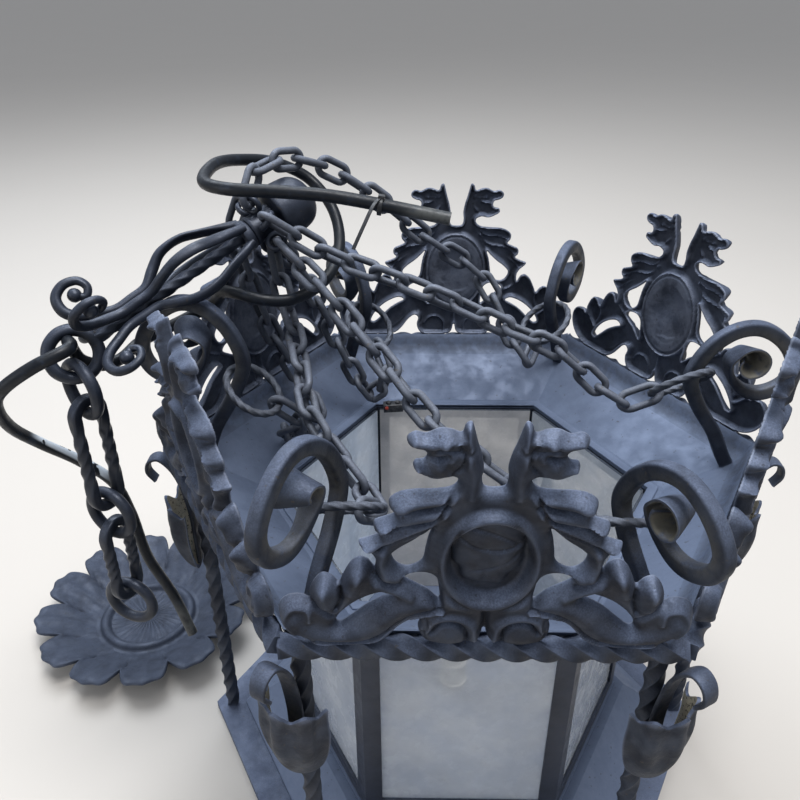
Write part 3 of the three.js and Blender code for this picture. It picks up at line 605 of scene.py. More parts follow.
def lathe(profile, count, centre=(0, 0, 0), basis=np.eye(3)):
    """A closed shape turned about the third basis direction. The profile runs
    from the axis to the axis as radius and height."""
    turns = np.arange(count) * 2 * math.pi / count
    points, faces, rings = [], [], []
    for radius, z in profile:
        if radius == 0:
            rings.append([len(points)])
            points.append((0, 0, z))
        else:
            rings.append(list(range(len(points), len(points) + count)))
            points += [(radius * math.cos(a), radius * math.sin(a), z) for a in turns]
    for low, high in zip(rings, rings[1:]):
        for k in range(count):
            m = (k + 1) % count
            corner = [low[k % len(low)], low[m % len(low)], high[m % len(high)], high[k % len(high)]]
            faces.append(tuple(dict.fromkeys(corner)))
    return outwards(np.array(points, float) @ np.asarray(basis, float) + np.asarray(centre, float), faces)


test_points, test_faces = lathe([(0, 0), (10, 0), (10, 5), (0, 5)], 12)
print("a test disc has", len(test_points), "points and", len(test_faces), "faces")

# %% [markdown]
# The columns and the rope round the rim are square bars twisted while hot. A
# square section turned along a straight line repeats by a rule, so a Geometry
# Nodes tree makes it: the line is resampled, its tilt grows with its length,
# and a rounded square is swept along it.

# %% Twisted bar tree
TWIST_PITCH = 19
COLUMN_WIDTH = 11
BAR_ROUNDING = 1.2
BAR_STEP = 2


def twisted_bar_tree():
    tree = bpy.data.node_groups.new("twisted_bar", "GeometryNodeTree")
    face = tree.interface
    face.new_socket("Line", in_out="INPUT", socket_type="NodeSocketGeometry")
    bar_sizes = {
        "Width": COLUMN_WIDTH, "Rounding": BAR_ROUNDING, "Step": BAR_STEP, "Quarter turn": TWIST_PITCH,
    }
    for name, value in bar_sizes.items():
        face.new_socket(name, in_out="INPUT", socket_type="NodeSocketFloat").default_value = value / 1000
    face.new_socket("Finish", in_out="INPUT", socket_type="NodeSocketMaterial")
    face.new_socket("Bar", in_out="OUTPUT", socket_type="NodeSocketGeometry")
    start, end = tree.nodes.new("NodeGroupInput"), tree.nodes.new("NodeGroupOutput")
    curve = tree.nodes.new("GeometryNodeMeshToCurve")
    tree.links.new(start.outputs["Line"], curve.inputs["Mesh"])
    even = tree.nodes.new("GeometryNodeResampleCurve")
    even.mode = "LENGTH"
    tree.links.new(curve.outputs["Curve"], even.inputs["Curve"])
    tree.links.new(start.outputs["Step"], even.inputs["Length"])
    run = tree.nodes.new("GeometryNodeSplineParameter")
    share = tree.nodes.new("ShaderNodeMath")
    share.operation = "DIVIDE"
    tree.links.new(run.outputs["Length"], share.inputs[0])
    tree.links.new(start.outputs["Quarter turn"], share.inputs[1])
    angle = tree.nodes.new("ShaderNodeMath")
    angle.operation = "MULTIPLY"
    angle.inputs[1].default_value = math.pi / 2
    tree.links.new(share.outputs["Value"], angle.inputs[0])
    tilt = tree.nodes.new("GeometryNodeSetCurveTilt")
    tree.links.new(even.outputs["Curve"], tilt.inputs["Curve"])
    tree.links.new(angle.outputs["Value"], tilt.inputs["Tilt"])
    square = tree.nodes.new("GeometryNodeCurvePrimitiveQuadrilateral")
    tree.links.new(start.outputs["Width"], square.inputs["Width"])
    tree.links.new(start.outputs["Width"], square.inputs["Height"])
    soft = tree.nodes.new("GeometryNodeFilletCurve")
    soft.mode = "POLY"
    soft.inputs["Count"].default_value = 3
    tree.links.new(square.outputs["Curve"], soft.inputs["Curve"])
    tree.links.new(start.outputs["Rounding"], soft.inputs["Radius"])
    bar = tree.nodes.new("GeometryNodeCurveToMesh")
    bar.inputs["Fill Caps"].default_value = True
    tree.links.new(tilt.outputs["Curve"], bar.inputs["Curve"])
    tree.links.new(soft.outputs["Curve"], bar.inputs["Profile Curve"])
    smooth = tree.nodes.new("GeometryNodeSetShadeSmooth")
    tree.links.new(bar.outputs["Mesh"], smooth.inputs["Geometry"])
    real = tree.nodes.new("GeometryNodeRealizeInstances")
    tree.links.new(smooth.outputs["Geometry"], real.inputs["Geometry"])
    paint = tree.nodes.new("GeometryNodeSetMaterial")
    tree.links.new(real.outputs["Geometry"], paint.inputs["Geometry"])
    tree.links.new(start.outputs["Finish"], paint.inputs["Material"])
    tree.links.new(paint.outputs["Geometry"], end.inputs["Bar"])
    return tree


def grown(name, tree, points, edges, values, attributes=None):
    """Runs a tree on a few points and edges and keeps the result as a mesh."""
    seed = bpy.data.meshes.new(name + "_seed")
    seed.from_pydata(in_scene(points).tolist(), edges, [])
    for key, (kind, data) in (attributes or {}).items():
        held = seed.attributes.new(key, kind, "POINT")
        content = "vector" if kind == "FLOAT_VECTOR" else "value"
        held.data.foreach_set(content, np.asarray(data, float).ravel())
    source = bpy.data.objects.new(name + "_seed", seed)
    bpy.context.scene.collection.objects.link(source)
    modifier = source.modifiers.new("grow", "NODES")
    modifier.node_group = tree
    sockets = {s.name: s.identifier for s in tree.interface.items_tree if s.in_out == "INPUT"}
    for key, value in values.items():
        modifier[sockets[key]] = value
    bpy.context.view_layer.update()
    result = source.evaluated_get(bpy.context.evaluated_depsgraph_get())
    mesh = bpy.data.meshes.new_from_object(result)
    source.modifiers.remove(modifier)
    bpy.data.objects.remove(source)
    mesh.name = name
    made = bpy.data.objects.new(name, mesh)
    bpy.context.scene.collection.objects.link(made)
    return made


TWISTED_BAR = twisted_bar_tree()
print("twisted bar tree:", len(TWISTED_BAR.nodes), "nodes")

# %% [markdown]
# A column is one straight run of that bar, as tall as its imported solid. The
# rope is six runs, one along each side of the rim, in a slightly thicker bar.

# %% Columns and rim rope
COLUMN_RADIUS = 240
ROPE_WIDTH = 12
ROPE_FULLNESS = 1
ROPE_LIFT = 2
ARRIS_ANGLE = math.radians(50)
column_low, column_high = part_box("column_right")
for index, corner in enumerate(CORNERS):
    foot = polar(COLUMN_RADIUS, index * 60, column_low.z * 1000)
    head = polar(COLUMN_RADIUS, index * 60, column_high.z * 1000)
    column = grown(f"twisted_column_{corner}", TWISTED_BAR, [foot, head], [(0, 1)],
                   {"Width": COLUMN_WIDTH / 1000, "Finish": FORGED})
    column.data.set_sharp_from_angle(angle=ARRIS_ANGLE)
    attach(column, "lantern")
    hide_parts(f"column_{corner}")

rope_corners = [polar(RIM_RADIUS, index * 60, RIM_HEIGHT + ROPE_LIFT) for index in range(SIDES)]
rope_points, rope_edges = [], []
for index in range(SIDES):
    rope_points += [rope_corners[index], rope_corners[(index + 1) % SIDES]]
    rope_edges.append((2 * index, 2 * index + 1))
rope = grown("twisted_rim_rope", TWISTED_BAR, rope_points, rope_edges,
             {"Width": (ROPE_WIDTH + ROPE_FULLNESS) / 1000, "Finish": FORGED})
rope.data.set_sharp_from_angle(angle=ARRIS_ANGLE)
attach(rope, "lantern")
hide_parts("rim_rope")
print("rope triangles:", sum(len(p.vertices) - 2 for p in rope.data.polygons))

# %% [markdown]
# Each crest is one casting: two beasts back to back over an oval shield, on a
# pair of scrolled leaves. Its outline is drawn once as half a shape and
# mirrored. A field of distances to that outline gives both the edge, found
# between grid points so that it stays smooth, and the swelling of the front,
# which rises from the edge like a cushion. Lobes, grooves and the shield are
# then added as soft strokes, and the back is hollowed out with a thin lip.

# %% Crest drawing
CREST_OUTLINE = [
    (0.7, 22), (1.4, 18), (3.2, 13.4), (8, 10.6), (22, 10.2), (34, 10.6), (39, 15), (41, 22),
    (39.5, 29.5), (44, 32.8), (51, 27.5), (58.5, 17.5), (66, 11.5), (76, 10.2), (90, 10.2), (104, 10.6),
    (115, 15), (122.5, 22.5), (126.5, 32), (125.5, 41), (120, 47), (112, 48), (107, 45.5), (106.5, 52),
    (103.5, 60), (98.5, 66), (93, 64.5), (88.5, 59.5), (85.5, 66), (81, 75), (75.5, 79.5), (70.5, 77.5),
    (67, 72), (66.2, 79), (69, 85), (74.5, 90), (75.5, 93), (70, 95), (63.5, 98.6), (66.5, 102.5),
    (66, 108), (60, 111), (54.5, 114), (57.5, 118.5), (57.5, 124), (52, 128.5), (44, 130.5), (33, 131),
    (24.5, 132.5), (20.5, 136), (20.5, 140), (26, 142.4), (33, 141.3), (40, 143.8), (44.5, 147),
    (43.5, 151), (39.2, 151.8), (37.2, 154.5), (38.5, 158.5), (43.5, 160), (47.2, 162.5), (47.6, 166.5),
    (43.5, 169.6), (37.5, 168.6), (31, 171.6), (25, 171.2), (19.2, 169.3), (17.2, 174.4), (14.2, 176),
    (12.4, 171), (10.4, 163), (8.2, 156), (6.6, 147), (7.2, 139), (5, 133.2),
]
CREST_HOLES = [
    [(33, 105.5), (35.4, 97), (37, 88), (38.5, 79), (43, 74.2), (49, 72.6), (54.5, 76), (56.8, 83), (52, 89),
     (44, 95), (37.5, 101)],
    [(28.5, 46.5), (36, 54), (43.5, 59), (50.5, 64.5), (46, 69), (37, 70), (31, 66), (29, 58)],
    [(55.5, 50.5), (63, 46.2), (72, 40), (81.5, 30.5), (88.5, 24.5), (92, 26.5), (88, 35), (79.5, 44.2),
     (70, 50.5), (61, 53.5)],
]
CREST_DEPTH = 6
CREST_HALF_WIDTH = 129
CREST_LOWEST = 2
CREST_TALLEST = 180
GRID = 1.15


def rounded_loop(points, fine=6):
    """A closed smooth line through the points."""
    points = [np.array([*p, 0.0]) for p in points]
    wrapped = points[-2:] + points + points[:3]
    line = []
    for a, b, c, d in zip(wrapped[1:], wrapped[2:], wrapped[3:], wrapped[4:]):
        for t in np.arange(fine) / fine:
            square = (2 * a - 5 * b + 4 * c - d) * t ** 2
            cubic = (3 * b - a - 3 * c + d) * t ** 3
            line.append(0.5 * (2 * b + (c - a) * t + square + cubic))
    line = np.array(line[: len(points) * fine])
    return line[:, :2]


def distance_to_line(x, y, line, closed=True):
    """How far each point lies from the nearest stretch of the line."""
    far = np.full(x.shape, 1e9)
    ends = np.roll(line, -1, 0) if closed else line[1:]
    for a, b in zip(line, ends):
        d = b - a
        t = np.clip(((x - a[0]) * d[0] + (y - a[1]) * d[1]) / max(d @ d, 1e-9), 0, 1)
        far = np.minimum(far, (x - a[0] - t * d[0]) ** 2 + (y - a[1] - t * d[1]) ** 2)
    return np.sqrt(far)


def inside_line(x, y, line):
    """True where a ray from the point crosses the loop an odd number of times."""
    inside = np.zeros(x.shape, bool)
    for a, b in zip(line, np.roll(line, -1, 0)):
        crosses = (a[1] > y) != (b[1] > y)
        slope = (b[0] - a[0]) * (y - a[1]) / (b[1] - a[1] if b[1] != a[1] else 1e-9) + a[0]
        inside ^= crosses & (x < slope)
    return inside


mirrored = [(-x, y) for x, y in CREST_OUTLINE[::-1]]
outline_line = rounded_loop(CREST_OUTLINE + mirrored)
grid_x = np.arange(-CREST_HALF_WIDTH, CREST_HALF_WIDTH + 0.01, GRID)
grid_y = np.arange(CREST_LOWEST, CREST_TALLEST, GRID)
field_x, field_y = np.meshgrid(grid_x, grid_y)
mirror_x = np.abs(field_x)
field = distance_to_line(field_x, field_y, outline_line)
field = np.where(inside_line(field_x, field_y, outline_line), field, -field)
for hole in CREST_HOLES:
    loop = rounded_loop(hole)
    gap = distance_to_line(mirror_x, field_y, loop)
    gap = np.where(inside_line(mirror_x, field_y, loop), -gap, gap)
    field = np.minimum(field, gap)
print("crest grid:", field.shape, "solid share:", round(float((field > 0).mean()), 2))

# %% [markdown]
# The relief is a sum of strokes. A ridge is a raised line, a groove a cut one,
# and a boss a round swelling, each with its width and height. They are drawn
# on one half and appear on both. The shield is the exception: its lobes and
# creases run across the middle, so no two halves are alike.

# %% Crest relief
RIDGES = [
    ([(13.8, 163), (14.6, 168), (14.8, 173)], 1.7, 2.6),
    ([(20, 166), (26, 168), (33, 165), (40, 166)], 2.6, 2.6),
    ([(24, 146), (33, 144.5), (42, 146.5)], 2.2, 1.8),
    ([(13, 132), (12, 145), (15, 157)], 4.2, 3.4),
    ([(24, 130), (38, 127.5), (53, 123.5)], 4.0, 3.4),
    ([(28, 118.5), (44, 115), (62, 107.5)], 3.4, 3.0),
    ([(34, 108), (50, 102.5), (71, 92.5)], 3.0, 2.6),
    ([(61, 88), (63, 78), (56, 69), (44, 66)], 3.2, 2.4),
    ([(12, 48), (30, 48.5), (46, 44.5), (58, 36), (68, 26), (80, 19), (94, 17.5), (108, 21), (116, 30)],
     6.2, 3.0),
    ([(26, 41), (38, 39.2), (50, 31), (59, 20.5), (70, 13.6), (88, 12.6), (106, 13.6)], 1.3, 2.2),
    ([(118, 22), (123, 33), (117, 43), (108, 41), (107, 33)], 2.2, 2.4),
    ([(37, 24), (31, 34), (19, 36.5), (8.5, 30), (5.5, 17)], 2.4, 2.8),
    ([(96, 47), (97.5, 59)], 4.6, 3.4),
    ([(81, 58), (76.5, 72)], 4.6, 3.4),
    ([(46, 54), (56, 58), (66, 63)], 3.0, 2.2),
]
GROOVES = [
    ([(42, 155.5), (34, 155.5), (26, 157)], 1.2, 3.2),
    ([(21, 133.5), (30, 123), (46, 120.8), (57, 117)], 1.3, 3.6),
    ([(25, 123), (34, 113), (52, 109), (64, 101)], 1.3, 3.4),
    ([(32, 109), (44, 104), (58, 96), (68, 87)], 1.1, 2.4),
    ([(88, 60), (87.5, 50), (91, 40)], 1.6, 3.6),
    ([(105.5, 47), (100, 40), (93, 34)], 1.6, 3.4),
    ([(68, 72), (62, 66), (52, 61)], 1.4, 2.8),
    ([(26, 43.6), (39.5, 41.8), (52.5, 33.2), (61.5, 22.6), (71.5, 16.2), (88, 15), (104, 16)], 0.9, 1.8),
    ([(40, 36), (36, 30), (38, 20)], 1.2, 2.6),
    ([(20, 165), (17, 158), (18.5, 151), (23, 146)], 1.2, 2.2),
    ([(20, 161), (27, 160.5), (33, 161.5)], 0.9, 1.2),
    ([(0, 40), (0, 30), (0.4, 20)], 2.2, 3.4),
    ([(33, 22), (27, 29.5), (18, 30), (11.5, 23), (11, 13)], 1.3, 2.8),
]
BOSSES = [
    ((27, 165.5), 2.8, 2.6), ((30, 162.5), 1.5, -2.6), ((44.5, 166), 2.4, 2.2),
    ((45.5, 166.6), 1.0, -2.4), ((30, 150), 4.4, 2.2), ((24, 156), 3.0, 1.6), ((43, 148), 1.8, 1.6),
    ((50, 124.5), 5.0, 2.0), ((60, 108.5), 4.6, 1.8), ((69, 93), 4.0, 1.6), ((97.5, 58), 5.5, 2.6),
    ((77, 70.5), 5.5, 2.6), ((61, 69), 3.6, 1.4), ((22, 19), 9.0, 2.6),
]
MEDALLION_MIDDLE = 82.5
MEDALLION_HALF = (31, 40.5)
CREST_GAIN = 1.25
CREST_SWELL = 6.4
CREST_RIM = -1.0
CREST_CUSHION = 7.5
MEDALLION_BASE = 4.8
BACK_SKIN = 2.6
BACK_HIGHEST = 2.4


def swelling(distance, width):
    return np.exp(-(distance / width) ** 2)


def stroke_height(x, y):
    height = np.zeros(x.shape)
    for sign, strokes in ((1, RIDGES), (-1, GROOVES)):
        for line, width, amount in strokes:
            smooth = spline([[px, py, 0] for px, py in line], 16)[:, :2]
            height += sign * amount * swelling(distance_to_line(x, y, smooth, False), width)
    for (bx, by), width, rise in BOSSES:
        height += rise * np.exp(-((x - bx) ** 2 + (y - by) ** 2) / width ** 2)
    return height


def oval_share(x, y):
    """Zero in the middle of the medallion and one on its outer edge."""
    return np.hypot(x / MEDALLION_HALF[0], (y - MEDALLION_MIDDLE) / MEDALLION_HALF[1])


def shield_height(x, y):
    """The oval's raised rim, its sunk field and the lobed shield in it."""
    oval = oval_share(x, y)
    rim = 4.4 * np.exp(-((oval - 0.885) / 0.085) ** 2)
    sunk = -6.0 * (1 - smoothstep(oval, 0.72, 0.82))
    turn = np.arctan2(y - 88, x + 2)
    lobes = (0.045 * np.cos(turn * 8 + 0.6) + 0.02 * np.cos(turn * 13)) * smoothstep(y, 92, 80)
    body = np.hypot((x + 1) / 21, (y - 90) / 30) + lobes
    shield = 5.8 * np.sqrt(np.clip(1 - np.clip(body, 0, 1) ** 3, 0, 1))
    creases = 1.3 * np.exp(-((y - 104 + 0.55 * x + 0.012 * (x - 6) ** 2) / 1.1) ** 2)
    creases += 1.5 * np.exp(-((y - 90 + 0.3 * x - 0.02 * (x + 4) ** 2) / 1.2) ** 2)
    creases += 1.2 * np.exp(-((y - 76 - 0.4 * x - 0.015 * x ** 2) / 1.2) ** 2) * smoothstep(x, -16, -6)
    creases += 1.4 * np.exp(-((x + 3 - 0.12 * (y - 70)) / 1.2) ** 2) * (1 - smoothstep(y, 68, 78))
    bulge = 1.2 * swelling(np.hypot(x + 7, y - 97), 6) + 1.2 * swelling(np.hypot(x - 8, y - 82), 6.5)
    return rim + sunk + shield + bulge - creases * (1 - smoothstep(body, 0.8, 0.98))


def crest_front(x, y, depth):
    """Height of the front above the middle plane."""
    swell = np.sqrt(np.clip(1 - (1 - np.clip(depth / CREST_CUSHION, 0, 1)) ** 2, 0, 1))
    strokes = CREST_GAIN * stroke_height(np.abs(x), y) * smoothstep(depth, 0, 3)
    height = CREST_RIM + CREST_SWELL * swell + strokes
    medal = MEDALLION_BASE + shield_height(x, y)
    share = 1 - smoothstep(oval_share(x, y), 0.97, 1.05)
    return np.maximum(height * (1 - share) + medal * share, -1.4)


def crest_back(x, y, depth, front):
    """The back is hollow behind a thin lip, and a low ridge rounds the oval."""
    flat = -CREST_DEPTH / 2
    hollow = np.clip(front - BACK_SKIN, flat, BACK_HIGHEST)
    oval = oval_share(x, y)
    waves = 0.7 + 0.3 * np.cos((y - 96 + 0.4 * x) / 8)
    dish = -2.5 + 4.2 * np.clip(1 - (oval / 0.72) ** 2, 0, 1) * waves
    share = 1 - smoothstep(oval, 0.9, 1.0)
    hollow = hollow * (1 - share) + dish * share
    ridge = np.exp(-((oval - 1.0) / 0.045) ** 2)
    hollow = hollow * (1 - ridge) + flat * ridge
    lip = smoothstep(depth, 1.3, 3.2)
    rim = flat * (0.72 + 0.28 * smoothstep(depth, 0, 1.3))
    return np.minimum(rim + (hollow - flat) * lip, front - 0.9)


print("strokes:", len(RIDGES), "ridges,", len(GROOVES), "grooves,", len(BOSSES), "bosses")

# %% [markdown]
# The grid is cut along the zero line of the distance field, square by square,
# and both faces share that cut, so the casting is closed all round its edge.
# The lip behind, the oval's ridge and the dish inside it are rubbed pale.

# %% Crest mesh


def cut_grid(values, xs, ys):
    """Points and polygons of the part of the grid where values is above zero."""
    points, found, faces, edge = [], {}, [], []

    def corner(i, j):
        key = (i, j)
        if key not in found:
            found[key] = len(points)
            points.append((xs[j], ys[i]))
        return found[key]

    def crossing(a, b):
        key = (a, b) if a < b else (b, a)
        if key not in found:
            va, vb = values[key[0]], values[key[1]]
            t = min(max(va / (va - vb), 0.04), 0.96)
            found[key] = len(points)
            ax, ay = xs[key[0][1]], ys[key[0][0]]
            bx, by = xs[key[1][1]], ys[key[1][0]]
            points.append((ax + (bx - ax) * t, ay + (by - ay) * t))
        return found[key]

    for i in range(len(ys) - 1):
        for j in range(len(xs) - 1):
            square = [(i, j), (i, j + 1), (i + 1, j + 1), (i + 1, j)]
            signs = [values[c] > 0 for c in square]
            if not any(signs):
                continue
            if all(signs):
                faces.append([corner(*c) for c in square])
                continue
            loop, crossed = [], []
            for k in range(4):
                a, b = square[k], square[(k + 1) % 4]
                if signs[k]:
                    loop.append(corner(*a))
                if signs[k] != signs[(k + 1) % 4]:
                    crossed.append((len(loop), signs[k]))
                    loop.append(crossing(a, b))
            if len(crossed) == 4 and sum(values[c] for c in square) <= 0:
                for k in range(4):
                    if signs[k]:
                        before, after = square[(k - 1) % 4], square[(k + 1) % 4]
                        start, stop = crossing(before, square[k]), crossing(square[k], after)
                        faces.append([start, corner(*square[k]), stop])
                        edge.append((stop, start))
                continue
            faces.append(loop)
            for at, leaving in crossed:
                if leaving:
                    edge.append((loop[at], loop[(at + 1) % len(loop)]))
    return np.array(points), faces, edge


flat_points, flat_faces, flat_edge = cut_grid(field, grid_x, grid_y)
flat_x, flat_y = flat_points[:, 0], flat_points[:, 1]
depth_at = np.abs(distance_to_line(flat_x, flat_y, outline_line))
for hole in CREST_HOLES:
    to_hole = distance_to_line(np.abs(flat_x), flat_y, rounded_loop(hole))
    depth_at = np.minimum(depth_at, to_hole)
on_edge = np.unique(np.array(flat_edge).ravel())
depth_at[on_edge] = 0
front_z = crest_front(flat_x, flat_y, depth_at)
back_z = crest_back(flat_x, flat_y, depth_at, front_z)
crest_points = np.vstack([np.column_stack([flat_points, front_z]), np.column_stack([flat_points, back_z])])
shift = len(flat_points)
crest_faces = [tuple(f) for f in flat_faces] + [tuple(i + shift for i in reversed(f)) for f in flat_faces]
crest_faces += [(b, a, a + shift, b + shift) for a, b in flat_edge]

lip_wear = 1 - smoothstep(depth_at, 1.0, 2.4)
oval_at = oval_share(flat_x, flat_y)
oval_wear = 0.6 * swelling(oval_at - 1.0, 0.05)
dish_wear = 0.16 + 0.3 * (1 - smoothstep(oval_at, 0.85, 0.98))
crest_wear = np.concatenate([0.1 * lip_wear, np.clip(lip_wear + oval_wear + dish_wear, 0, 1)])
print("crest faces:", len(crest_faces), "front up to", round(float(front_z.max()), 1), "mm")

# %% [markdown]
# All six crests are the same casting. A copy is placed by its points, so that
# the object itself stays at the origin. It stands on the rim's side and leans
# out by a few degrees, as its solid does.

# %% Six crests on the rim
CREST_LEAN = math.radians(3)
for index, face_name in enumerate(FACES):
    angle = math.radians(60 * index + 30)
    outward = np.array([math.cos(angle), math.sin(angle), 0])
    along = np.cross(UP, outward)
    rise = UP * math.cos(CREST_LEAN) + outward * math.sin(CREST_LEAN)
    facing = np.cross(along, rise)
    seat = outward * RIM_RADIUS * TO_APOTHEM + UP * RIM_HEIGHT
    placed = seat + crest_points @ np.array([along, rise, facing])
    crest = piece(f"crest_casting_{face_name}", placed, crest_faces, CAST, sharp=70)
    mark(crest, "worn", crest_wear)
    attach(crest, "lantern")
    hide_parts(f"crest_{face_name}")
print("crests:", len(FACES))

# %% [markdown]
# A scroll is one flat bar that stands on the gallery's corner, bends over
# outside the rim and curls inwards, ending in a flared leaf. The section is
# swept along the same line as the solid. Near its end the bar grows wider and
# thinner, which is how a smith spreads it, and its outer edge leans out, which
# makes the rolled leaf a cone. Soil sits on the inner side of every bend.

# %% Corner scrolls
SCROLL_SHAPE = [
    (215, 0.19), (196, 0.42), (186, 0.615), (190, 0.754), (200, 0.885), (215, 0.977), (231, 1),
    (246, 0.954), (262, 0.83), (268, 0.708), (262, 0.585), (245, 0.515), (231, 0.538), (218, 0.646),
    (214, 0.76), (220, 0.823),
]
SCROLL_HEIGHTS = [122, 120, 118, 142, 133, 116]
SCROLL_THICKNESS = 12
SCROLL_WIDTH = 10
SCROLL_ROUNDING = 2.6
ROLL_WIDTH = 25
ROLL_THICKNESS = 2.8
ROLL_LEAN = 0.42
BAR_SOIL = 0.36
SCROLL_FOOT_RADIUS = 232
ROLL = [(6, 3.4), (13, 2.4), (17.5, -3.5), (16, -10.5), (9.5, -13.5), (4.5, -10), (5.5, -5)]
ROPE_REACH = ROPE_WIDTH / 2 * math.sqrt(2)
GALLERY_EDGE_RADIUS = RIM_RADIUS - ROPE_REACH / TO_APOTHEM
GALLERY_SLOPE = GALLERY_DROP / (GALLERY_EDGE_RADIUS - GALLERY_FLAT_RADIUS)
FOOT_ANGLE = math.atan(GALLERY_SLOPE)
FOOT_LIFT = SCROLL_WIDTH / 2 * math.tan(math.pi / SIDES) * math.sin(FOOT_ANGLE) + FIT
FOOT_RISE = 12


def scroll_line(index, count=210):
    foot_r = SCROLL_FOOT_RADIUS - FOOT_LIFT * math.sin(FOOT_ANGLE)
    gallery_top = RIM_HEIGHT - GALLERY_SLOPE * (GALLERY_EDGE_RADIUS - SCROLL_FOOT_RADIUS)
    foot_z = gallery_top + FOOT_LIFT * math.cos(FOOT_ANGLE)
    neck_r = foot_r - FOOT_RISE * math.sin(FOOT_ANGLE)
    neck_z = foot_z + FOOT_RISE * math.cos(FOOT_ANGLE)
    start = [(foot_r, foot_z), (neck_r, neck_z)]
    rest = [(r, RIM_HEIGHT + share * SCROLL_HEIGHTS[index]) for r, share in SCROLL_SHAPE]
    rolled = [(rest[-1][0] + r, rest[-1][1] + z) for r, z in ROLL]
    return spline([polar(r, index * 60, z) for r, z in start + rest + rolled], count)


def scroll_surface(line, across, run):
    """The bar's faces, and its points as one row for each step of the line."""
    spread = smoothstep(run, 0.74, 0.9)
    wide = 1 + (ROLL_WIDTH / SCROLL_WIDTH - 1) * spread * (1 - 0.2 * smoothstep(run, 0.93, 1))
    deep = 1 + (ROLL_THICKNESS / SCROLL_THICKNESS - 1) * smoothstep(run, 0.7, 0.87)
    section = rounded(SCROLL_THICKNESS, SCROLL_WIDTH, SCROLL_ROUNDING, 4)
    points, faces = sweep(line, section, side=across, wide=wide, deep=deep)
    return points.reshape(len(line), len(section), 3), faces


def coned(rows, line, across, run):
    """The rows with one side of the rolled end leaning out."""
    outward = np.cross(across, tangents_of(line))
    sideways = (rows - line[:, None]) @ across
    lean = ROLL_LEAN * smoothstep(run, 0.82, 0.93)
    return rows + outward[:, None] * (sideways * lean[:, None])[..., None]


def scroll_soil(rows, line, run):
    """Shares of soil, light along the bar and full inside the rolled end."""
    bending = np.gradient(tangents_of(line), axis=0)
    bending /= np.linalg.norm(bending, axis=1)[:, None]
    inner = np.einsum("kij,kj->ki", rows - line[:, None], bending)
    bar = smoothstep(inner, 1, 4) * smoothstep(run, 0.05, 0.3)[:, None] * BAR_SOIL
    rolled = smoothstep(inner, 0.2, 0.8) * smoothstep(run, 0.78, 0.88)[:, None]
    return np.maximum(bar, rolled)


for index, corner in enumerate(CORNERS):
    line = scroll_line(index)
    run = np.linspace(0, 1, len(line))
    across = polar(1, index * 60 + 90, 0)
    rows, faces = scroll_surface(line, across, run)
    points = coned(rows, line, across, run).reshape(-1, 3)
    scroll = piece(f"scroll_bar_{corner}", points, faces, FORGED, sharp=55)
    mark(scroll, "soiled", scroll_soil(rows, line, run))
    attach(scroll, "lantern")
    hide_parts(f"scroll_{corner}")
print("scrolls:", len(CORNERS))

# %% [markdown]
# The capitals are fluted half shells fixed to the outer side of the columns,
# like half a flower cup. Each lobe swells outwards and rises into a rounded
# tip. The shell is thin, so inner and outer skins are built together and
# closed round all four edges. A flat strap stands in it and curls over.

# %% Capitals
CAPITAL_CENTRE_RADIUS = 244
CAPITAL_TOP = -55
CAPITAL_FOOT = -129
CAPITAL_WIDEST = 28
CAPITAL_WALL = 2.4
CAPITAL_LOBES = 8
CAPITAL_SWELL = 0.075
CAPITAL_TIP_RISE = 4.5
CAPITAL_OUTLINE = [
    (0.2, 0), (0.42, 0.02), (0.66, 0.12), (0.84, 0.29), (0.95, 0.48), (0.99, 0.68), (0.95, 0.86), (0.97, 1),
]
STRAP_WIDTH = 14
STRAP_THICKNESS = 3
COLUMN_FACE = COLUMN_RADIUS + COLUMN_WIDTH / 2 * math.sqrt(2) + FIT
STRAP_ROUTE = [
    (COLUMN_FACE + 1.5, CAPITAL_FOOT + 1.5), (COLUMN_FACE + 1.5, -95), (COLUMN_FACE + 2.5, -62), (256.5, -28),
    (264, -13), (272, -6.5), (280, -10), (283, -21), (277, -31),
]


def shell_skin(inset, rows=26, columns=56):
    """One skin of the fluted shell, as rows of points from its foot upwards."""
    outline = spline([(r, h, 0) for r, h in CAPITAL_OUTLINE], rows)
    skin = []
    for r, h in outline[:, :2]:
        radius = r * CAPITAL_WIDEST - inset
        limit = math.acos(min(0.9, (COLUMN_FACE - CAPITAL_CENTRE_RADIUS) / max(radius, 5)))
        for s in np.linspace(-1, 1, columns):
            turn = s * limit
            lobe = math.cos(CAPITAL_LOBES * turn)
            flute = abs(lobe) ** 0.7 * (1 if lobe > 0 else -1)
            swell = radius * (1 + CAPITAL_SWELL * flute * smoothstep(h, 0.1, 0.8))
            height = CAPITAL_FOOT + h * (CAPITAL_TOP - CAPITAL_FOOT)
            height += CAPITAL_TIP_RISE * lobe * h ** 4 + inset * (1 - h)
            x = max(CAPITAL_CENTRE_RADIUS + swell * math.cos(turn), COLUMN_FACE)
            skin.append((x, swell * math.sin(turn), RIM_HEIGHT + height))
    return np.array(skin), rows, columns


def closed_skins(first, second, rows, columns):
    """Two grids of points joined round their border into one thin solid."""
    shift = len(first)
    faces = []
    for i in range(rows - 1):
        for k in range(columns - 1):
            a, b = i * columns + k, i * columns + k + 1
            faces.append((a, b, b + columns, a + columns))
            faces.append((a + columns + shift, b + columns + shift, b + shift, a + shift))
    border = list(range(columns)) + [i * columns + columns - 1 for i in range(1, rows)]
    border += [(rows - 1) * columns + k for k in range(columns - 2, -1, -1)]
    border += [i * columns for i in range(rows - 2, 0, -1)]
    for a, b in zip(border, border[1:] + border[:1]):
        faces.append((b, a, a + shift, b + shift))
    return outwards(np.concatenate([first, second]), faces)


